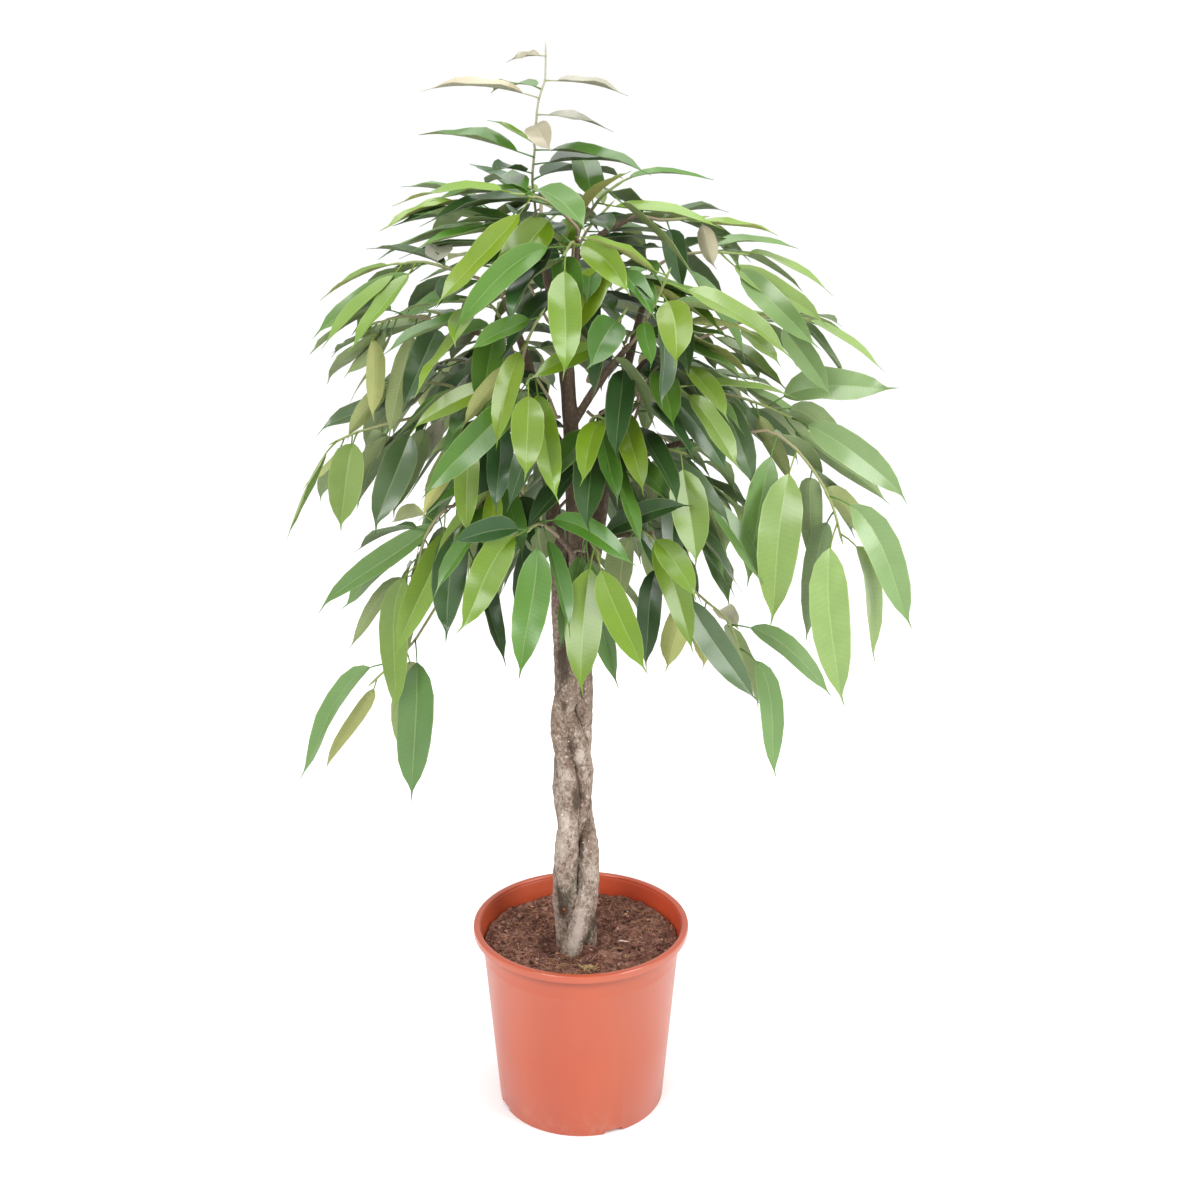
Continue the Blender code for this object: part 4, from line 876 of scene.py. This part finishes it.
def by_reach(color, place):
    """The colour with painted shade near the trunk, painted light high up, and a painted sheen at the
    crown's sides.
    """
    reach = math.hypot(place.x, place.y)
    # Painted shade near the trunk and painted light high up.
    light = 0.66 + 0.34 * min(1, reach / INNER_REACH)
    light *= 1 + 0.14 * min(1, max(0, (place.z - HIGH_FROM) / HIGH_OVER))
    # Painted sheen: leaves out at the sides, more on the right, are mixed towards a pale colour.
    side = place.x if place.x > 0 else -0.75 * place.x
    pale = 0.46 * min(1, max(0, (side - SIDE_FROM) / SIDE_OVER))
    return tuple(part * light * (1 - pale) + white * pale for part, white in zip(color, PAINTED_SHEEN))


def age_of(index, count, rng):
    """Old leaves near the twig's foot and fresh ones at its tip."""
    fresh = index / max(1, count - 1) + rng.uniform(-0.25, 0.2)
    return "f" if fresh > 0.84 else "g" if fresh > 0.4 else "d"


def shoot(name, node, blade, finishes, rng):
    """A twig, swollen at each leaf and pointed at its bud, and its leaves, as one piece."""
    twig, bud, leaves = read_shoot(node)
    skin = Skin()
    path = smooth_path([*twig, bud], TWIG_STEP)
    last = len(path) - 1
    tender, woody = LEADER_TINTS if name == LEADER else TWIG_TINTS
    slim = LEADER_SLIMNESS if name == LEADER else 1
    radii = []
    tints = []
    for i, point in enumerate(path):
        share = i / last
        radius = TWIG_RADIUS + (TWIG_TIP_RADIUS - TWIG_RADIUS) * share
        near = min((point - leaf["curve"][0]).length for leaf in leaves)
        swell = 1 + 0.22 * max(0, 1 - near / SWELL_REACH)
        pointed = min(1, (bud - point).length / BUD_LENGTH) ** 0.7
        radii.append(radius * slim * swell * max(0.12, pointed))
        blend = min(1, max(0, share * 1.5 - 0.25))
        tints.append(tuple(a + (b - a) * blend for a, b in zip(woody, tender)))
    skin.tube(path, radii, 6, 2, tints)
    ages = AGES.get(name)
    for i, leaf in enumerate(leaves):
        age = ages[i] if ages else age_of(i, len(leaves), rng)
        add_leaf(skin, blade, leaf, age, rng)
    piece = skin.piece(name + "_leaves", *finishes)
    slot = next(row["material_slot"] for row in frame["record"]["subparts"] if row["node"] == name)
    stand_for(piece, slot, name)


# ---- stems ----
def bark(name, finish):
    """The stem with its limbs in one fine lumpy skin, creased where it presses on another."""
    piece = fine_copy(name)
    mesh = piece.data
    mesh.materials.clear()
    mesh.materials.append(finish)
    others = [tree_of(frame["nodes"][other]) for other in STEM_NAMES if other != name]
    normals = [v.normal.copy() for v in mesh.vertices]
    marks = {mark: [] for mark in BARK_MARKS}
    for vert, normal in zip(mesh.vertices, normals):
        point = vert.co.copy()
        near = min((tree.find_nearest(point, NEAREST_STEM)[3] or NEAREST_STEM) for tree in others)
        pressed = max(0.0, 1 - max(0.0, near - CREASE_START) / CREASE_REACH)
        thick = 1 - min(1, max(0, (point.z - ROUGH_UP_TO) / YOUNG_AFTER))
        vert.co = point + normal * swell_at(point, thick, pressed) * MM
        # Painted shade in the creases, where another stem presses close.
        marks["crease"].append(pressed * pressed * thick)
        marks["young"].append(1 - thick)
        for key, patches in (("stain", STAINS), ("pale", PALE_PATCHES), ("moss", MOSS)):
            marks[key].append(marked(point, patches) if normal.y < FRONT else 0)
    for key, values in marks.items():
        layer = mesh.attributes.new(key, "FLOAT", "POINT")
        layer.data.foreach_set("value", values)
    mesh.shade_smooth()
    stand_for(piece, "bark", name)
    return piece


def fine_copy(name):
    """A copy of a stem's solid, remeshed finely and rounded, so that it can be displaced."""
    piece = frame["nodes"][name].copy()
    piece.data = frame["nodes"][name].data.copy()
    piece.name = name + "_bark"
    piece.parent = None
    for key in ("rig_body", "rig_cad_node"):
        if key in piece:
            del piece[key]
    shown(piece)
    shape = bmesh.new()
    shape.from_mesh(piece.data)
    bmesh.ops.remove_doubles(shape, verts=shape.verts, dist=0.01 * MM)
    shape.to_mesh(piece.data)
    shape.free()
    apply_modifier(piece, "REMESH", mode="VOXEL", voxel_size=BARK_VOXEL)
    apply_modifier(piece, "SMOOTH", factor=0.5, iterations=BARK_ROUNDING)
    return piece


def swell_at(point, thick, pressed):
    """How far the bark stands out, in mm: waves, lumps, grain, and more where pressed."""
    slow = noise.noise(Vector((point.x, point.y, point.z * 0.6)) * 28)
    lumps = noise.fractal(Vector((point.x, point.y, point.z * 0.5)) * 70, 0.9, 2.1, 3)
    fine = noise.fractal(Vector((point.x, point.y, point.z * 0.45)) * 330, 0.8, 2.0, 3)
    return (0.5 + 2.2 * slow + 1.7 * lumps) * (0.25 + 0.75 * thick) + 0.55 * fine * thick + 1.7 * pressed


def marked(point, patches):
    """How strongly a point lies in the patches, from 0 to 1."""
    total = 0
    for x, z, wide, tall, strength in patches:
        off = ((point.x / MM - x) / wide) ** 2 + ((point.z / MM - z) / tall) ** 2
        total += strength * math.exp(-off)
    return min(1, total)


def bark_bits(stems, finish, rng):
    """The chips and flecks that stick to the front of the plait."""
    skin = Skin()
    trees = [tree_of(stem) for stem in stems]
    for x, z, size, color in BARK_BITS:
        start = Vector((x * MM, -0.2, z * MM))
        hits = [tree.ray_cast(start, Vector((0, 1, 0)))[0] for tree in trees]
        spot = min((hit for hit in hits if hit), key=lambda hit: hit.y)
        add_clod(skin, spot - Vector((0, size * 0.4 * MM, 0)), size * MM, rgb(color), rng)
    piece = skin.piece("bark_bits", finish)
    stand_for(piece, "bark")


def tree_of(node):
    """The object's surface in a form that is fast to search."""
    shape = bmesh.new()
    shape.from_mesh(node.data)
    tree = BVHTree.FromBMesh(shape)
    shape.free()
    return tree


# ---- pot ----
def wall_radius(z):
    """The outer radius of the pot's wall at a height."""
    return FOOT_RADIUS + (WALL_TOP_RADIUS - FOOT_RADIUS) * z / (POT_HEIGHT - RIM_DROP)


def inner_radius(z):
    return wall_radius(z) - POT_WALL


def pot_profile():
    """The pot's outline: from mid-floor up the inside, over the rim, and down and under the foot."""
    top = POT_HEIGHT
    rim_foot = top - RIM_DROP
    step = top - STEP_BELOW_RIM
    outer = POT_RADIUS
    skirt = outer - POT_WALL
    mouth = outer - RIM_WIDTH
    # Each row is a radius, a height, and what each corner there adds to the two, in mm.
    rows = (
        (0, PAD_TOP, (0, 0)),
        (PAD_RADIUS, PAD_TOP, (-3, 0)),
        (PAD_RADIUS, FLOOR_TOP, (1, 0)),
        (inner_radius(FLOOR_TOP), FLOOR_TOP, (-2, 0), (0, 2)),
        (inner_radius(WALL_MIDDLE), WALL_MIDDLE, (0, 0)),
        (inner_radius(rim_foot), rim_foot, (0, -12), (0.5, -7)),
        (mouth, rim_foot, (-1.6, -2), (-0.6, 2.4), (0, 5.6)),
        (mouth, top, (0.3, -1.6), (1.1, -0.5), (2.4, 0)),
        (outer, top, (-2.8, 0), (-1.2, -0.5), (-0.3, -1.5), (0, -3.2)),
        (outer, rim_foot, (-0.1, 1), (-0.5, 0)),
        (skirt, rim_foot, (0.3, 0), (0, 0.5)),
        (skirt, top, (0, -3.4)),
        (wall_radius(top - 4 * MM), top, (0.9, -3.4)),
        (wall_radius(top - 6 * MM), top, (0.2, -5.4)),
        (wall_radius(step + 2 * MM), step, (0.45, 2)),
        (wall_radius(step), step, (0.45, 0.4), (0, -0.5)),
        (wall_radius(WALL_MIDDLE), WALL_MIDDLE, (0, 0)),
        (FOOT_RADIUS, 0, (0.3, 1.6), (-0.5, 0.2), (-1.3, 0), (-5.2, 0), (-6.2, 0.5)),
        (FOOT_RADIUS, FLOOR_RAISE, (-7.5, 0)),
        (PAD_RADIUS, FLOOR_RAISE, (3, 0)),
        (PAD_RADIUS, 0, (0.7, 0.5), (-0.6, 0)),
        (0, 0, (0, 0)),
    )
    return [(r + wider * MM, 0, z + higher * MM) for r, z, *corners in rows for wider, higher in corners]


def pot(finish):
    """The turned pot with its rolled rim, step and raised floor, notched and drilled."""
    verts = pot_profile()
    edges = [(i, i + 1) for i in range(len(verts) - 1)]
    piece = add_mesh("nursery_pot", verts, [], finish, edges=edges)
    only(piece)
    bpy.ops.object.mode_set(mode="EDIT")
    bpy.ops.mesh.select_all(action="SELECT")
    bpy.ops.mesh.spin(steps=TURNS, angle=math.tau, center=(0, 0, 0), axis=(0, 0, 1))
    bpy.ops.mesh.select_all(action="SELECT")
    bpy.ops.mesh.remove_doubles(threshold=0.02 * MM)
    bpy.ops.mesh.normals_make_consistent(inside=False)
    bpy.ops.object.mode_set(mode="OBJECT")
    for degrees in NOTCH_ANGLES:
        cut(piece, notch_cutter(math.radians(degrees)))
    for i in range(DRAIN_HOLES):
        cut(piece, drain_cutter(math.tau * (i + 0.5) / DRAIN_HOLES))
    only(piece)
    bpy.ops.object.shade_smooth_by_angle(angle=math.radians(28))
    stand_for(piece, "terracotta_plastic", "pot")


def cut(piece, cutter):
    apply_modifier(piece, "BOOLEAN", operation="DIFFERENCE", solver="EXACT", object=cutter)
    bpy.data.objects.remove(cutter)


def notch_cutter(turn):
    """A low arch with sloped ends and rounded corners, across the foot ring."""
    about_axis = Matrix.Rotation(turn, 4, "Z")
    half = NOTCH_WIDTH / 2
    foot, shoulder, crown = -2 * MM, FLOOR_RAISE - 1 * MM, FLOOR_RAISE - 0.1 * MM
    right = [(half, foot), (half - 3 * MM, shoulder), (half - 4.4 * MM, crown)]
    left = [(-y, z) for y, z in right]
    outline = [left[0], *right, *left[:0:-1]]
    near, far = FOOT_RADIUS - 6.9 * MM, FOOT_RADIUS + 5 * MM
    verts = [about_axis @ Vector((r, y, z)) for r in (near, far) for y, z in outline]
    count = len(outline)
    faces = [tuple(reversed(range(count))), tuple(range(count, 2 * count))]
    faces += [(i, (i + 1) % count, (i + 1) % count + count, i + count) for i in range(count)]
    return add_mesh("notch", verts, faces)


def drain_cutter(turn):
    spot = Matrix.Rotation(turn, 4, "Z") @ Vector((DRAIN_CIRCLE, 0, 6 * MM))
    deselect()
    bpy.ops.mesh.primitive_cylinder_add(vertices=28, radius=DRAIN_RADIUS, depth=10 * MM, location=spot)
    return bpy.context.object


# ---- peat ----
def peat_height(x, y):
    """The peat's lumpy top: lower round the trunk and in the hollows, higher at the wall."""
    reach = math.hypot(x - TRUNK_X, y)
    place = Vector((x, y, NOISE_LEVEL))
    lumps = noise.fractal(place * 45, 0.9, 2.0, 4) * LUMP_HEIGHT
    grit = noise.fractal(place * 170, 0.7, 2.1, 3) * GRIT_HEIGHT
    dip = DIP_DEPTH * max(0, 1 - reach / DIP_REACH) ** 1.3
    hollow = 0
    for hollow_x, hollow_y in PEAT_HOLLOWS:
        away = math.hypot(x - hollow_x * MM, y - hollow_y * MM)
        hollow += HOLLOW_DEPTH * math.exp(-(away**2) / (2 * HOLLOW_SPREAD**2))
    edge = EDGE_RISE * max(0, math.hypot(x, y) / PEAT_RADIUS - EDGE_START) / (1 - EDGE_START)
    return PEAT_LEVEL + lumps + grit - dip - hollow + edge


def peat(finish):
    """A closed plug of peat with a fine rough top."""
    piece = add_mesh("peat", peat_corners(), peat_faces(), finish)
    piece.data.shade_smooth()
    stand_for(piece, "peat", "soil")


def peat_corners():
    """One corner under the trunk, rings out to the wall, a lower ring and one corner under all."""
    base = PEAT_LEVEL - PEAT_SKIRT
    verts = [Vector((TRUNK_X, 0, PEAT_LEVEL - 14 * MM))]
    for ring in range(1, PEAT_RINGS + 1):
        share = ring / PEAT_RINGS
        for spoke in range(PEAT_SPOKES):
            turn = math.tau * spoke / PEAT_SPOKES
            x = TRUNK_X * (1 - share) + PEAT_RADIUS * share * math.cos(turn)
            y = PEAT_RADIUS * share * math.sin(turn)
            inside = max(0, 1 - math.hypot(x - TRUNK_X, y) / TRUNK_REACH)
            verts.append(Vector((x, y, peat_height(x, y) - inside * TRUNK_SINK)))
    shrink = (inner_radius(base) - 0.8 * MM) / PEAT_RADIUS
    for rim in verts[-PEAT_SPOKES:]:
        verts.append(Vector((rim.x * shrink, rim.y * shrink, base)))
    verts.append(Vector((0, 0, base)))
    return verts


def peat_faces():
    last = 1 + PEAT_RINGS * PEAT_SPOKES
    bottom = last + PEAT_SPOKES
    faces = []
    for spoke in range(PEAT_SPOKES):
        j = (spoke + 1) % PEAT_SPOKES
        faces.append((0, 1 + spoke, 1 + j))
        for ring in range(PEAT_RINGS):
            low = 1 + ring * PEAT_SPOKES
            faces.append((low + spoke, low + PEAT_SPOKES + spoke, low + PEAT_SPOKES + j, low + j))
        faces.append((last + j, last + spoke, bottom))
    return faces


def shaded(color, height):
    """Painted shade: the colour as dark as the peat is at that height."""
    light = 0.6 + 0.4 * min(1, max(0, (height - PEAT_LEVEL + DEEP) / (DEEP - SHALLOW)))
    return tuple(part * light for part in color)


def spot_on_peat(rng):
    """A place on the peat, clear of the trunk."""
    while True:
        turn = rng.uniform(0, math.tau)
        reach = PEAT_RADIUS * 0.97 * math.sqrt(rng.random())
        x, y = reach * math.cos(turn), reach * math.sin(turn)
        if math.hypot((x - TRUNK_X) / TRUNK_HALF_WIDTH, y / TRUNK_HALF_DEPTH) > 1:
            return Vector((x, y, peat_height(x, y)))


def crumbs(finish, rng):
    """Clods, pale crumbs, straws, a tuft of yellow straws and splinters on the peat."""
    skin = Skin()
    browns = [rgb(code) for code in CRUMB_BROWNS]
    for _ in range(CRUMBS):
        spot = spot_on_peat(rng)
        size = rng.uniform(0.8, 1.7) * MM if rng.random() < 0.75 else rng.uniform(1.7, 3.6) * MM
        # Painted shade on the clod, as dark as the peat where it lies.
        tint = shaded(varied(rng.choice(browns), rng, 0.25), spot.z)
        add_clod(skin, spot + UP * size * 0.25, size, tint, rng)
    for _ in range(PALE_CRUMBS):
        size = rng.uniform(0.7, 1.6) * MM
        add_clod(skin, spot_on_peat(rng) + UP * size * 0.5, size, varied(rgb("cbbfa9"), rng, 0.15), rng)
    for _ in range(FIBRES):
        add_straw(skin, spot_on_peat(rng), rng.uniform(5, 17) * MM, rng.uniform(0.2, 0.5) * MM, rng)
    for _ in range(TUFT_STRAWS):
        spot = Vector((rng.gauss(TUFT_PLACE[0], 5) * MM, rng.gauss(TUFT_PLACE[1], 2.2) * MM, 0))
        spot.z = peat_height(spot.x, spot.y)
        add_straw(skin, spot, rng.uniform(5, 11) * MM, 0.45 * MM, rng, rgb("b9a070"))
    for x, y, end_x, end_y, thick, color in PEAT_CHIPS:
        add_chip(skin, Vector((x, y, 0)) * MM, Vector((end_x, end_y, 0)) * MM, thick * MM, rgb(color))
    piece = skin.piece("peat_crumbs", finish)
    stand_for(piece, "peat")


def add_clod(skin, centre, size, tint, rng):
    """A small rough lump of six corners and eight faces."""
    start = len(skin.verts)
    turn = Matrix.Rotation(rng.uniform(0, math.tau), 3, "Z")
    turn @= Matrix.Rotation(rng.uniform(-0.6, 0.6), 3, "X")
    stretch = Vector((rng.uniform(0.8, 1.5), rng.uniform(0.7, 1.1), rng.uniform(0.45, 0.8)))
    for corner in ((1, 0, 0), (0, 1, 0), (-1, 0, 0), (0, -1, 0), (0, 0, 1), (0, 0, -1)):
        point = Vector(corner) + Vector([rng.uniform(-0.28, 0.28) for _ in range(3)])
        skin.verts.append(centre + turn @ (point * stretch) * size)
    for a, b in ((0, 1), (1, 2), (2, 3), (3, 0)):
        skin.face([start + a, start + b, start + 4], 0, tint)
        skin.face([start + b, start + a, start + 5], 0, tint)


def add_chip(skin, start, end, thick, tint):
    """A splinter lying on the peat from start to end, thickest in the middle."""
    path = [start.lerp(end, share) for share in (0, 0.3, 0.65, 1)]
    for point in path:
        point.z = peat_height(point.x, point.y) + thick * 0.6
    skin.tube(path, [thick * 0.4, thick, thick * 0.8, thick * 0.3], 5, 0, [tint] * 4)


def add_straw(skin, spot, length, radius, rng, tint=None):
    """A thin bowed straw along the peat, in one of the browns if no tint is given."""
    turn = rng.uniform(0, math.tau)
    way = Vector((math.cos(turn), math.sin(turn), 0))
    side = way.cross(UP)
    bow = rng.uniform(-0.25, 0.25)
    path = []
    for i in range(5):
        t = i / 4 - 0.5
        point = spot + way * length * t + side * length * bow * (0.25 - t * t)
        reach = math.hypot(point.x, point.y)
        if reach > PEAT_RADIUS - 2 * MM:
            point *= (PEAT_RADIUS - 2 * MM) / reach
        point.z = peat_height(point.x, point.y) + radius * 1.6 + abs(rng.gauss(0, 0.5)) * MM
        path.append(point)
    color = varied(tint or rgb(rng.choice(FIBRE_BROWNS)), rng, 0.2)
    radii = [radius * 0.7, radius, radius, radius, radius * 0.5]
    # Painted shade on the straw, as dark as the peat where it lies.
    skin.tube(path, radii, 4, 0, [shaded(color, spot.z)] * 5)


# ---- the scene ----
def area_light(name, place, size, power):
    """A rectangular lamp that shines at the crown's foot."""
    light = bpy.data.lights.new(name, "AREA")
    light.shape = "RECTANGLE"
    light.size, light.size_y = size
    light.energy = power
    lamp = shown(bpy.data.objects.new(name, light))
    lamp.location = place
    lamp.rotation_euler = (Vector(LAMP_AIM) - Vector(place)).to_track_quat("-Z", "Y").to_euler()


def studio():
    world = bpy.data.worlds.new("studio")
    bpy.context.scene.world = world
    world.use_nodes = True
    sky = world.node_tree.nodes["Background"]
    sky.inputs["Color"].default_value = (1, 1, 1, 1)
    sky.inputs["Strength"].default_value = SKY_STRENGTH
    for lamp in LAMPS:
        area_light(*lamp)
    deselect()
    bpy.ops.mesh.primitive_circle_add(vertices=96, radius=FLOOR_RADIUS, fill_type="NGON")
    ground = bpy.context.object
    ground.name = "floor"
    ground.data.materials.append(floor_finish())


def camera():
    data = bpy.data.cameras.new("camera")
    data.lens = LENS
    view = shown(bpy.data.objects.new("camera", data))
    view.location = CAMERA_PLACE
    view.rotation_euler = (math.radians(CAMERA_TILT), 0, 0)
    scene = bpy.context.scene
    scene.camera = view
    scene.view_settings.view_transform = "Standard"
    scene.view_settings.look = "None"


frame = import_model()
POT_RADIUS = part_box("pot")[1].x
POT_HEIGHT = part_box("pot")[1].z
PEAT_RADIUS = inner_radius(PEAT_LEVEL) - PEAT_GAP
STEM_NAMES = sorted(name for name in frame["nodes"] if name.startswith("stem_"))

rng = random.Random(SEED)
pot(pot_finish())
peat(peat_finish())
crumb_look = crumb_finish()
crumbs(crumb_look, rng)
bark_look = bark_finish()
stems = [bark(stem, bark_look) for stem in STEM_NAMES]
bark_bits(stems, crumb_look, rng)
blade = Blade(blade_pattern())
leaf_looks = (
    blade_finish("leaf face", 0.45, 0.35, 0.33, 0.12, 0.46),
    blade_finish("leaf underside", 0.6, 0.2, 0.52, 0.4, 0),
    twig_finish(),
)
for name in sorted(frame["nodes"]):
    if name not in ("pot", "soil", *STEM_NAMES):
        shoot(name, frame["nodes"][name], blade, leaf_looks, rng)
camera()
studio()
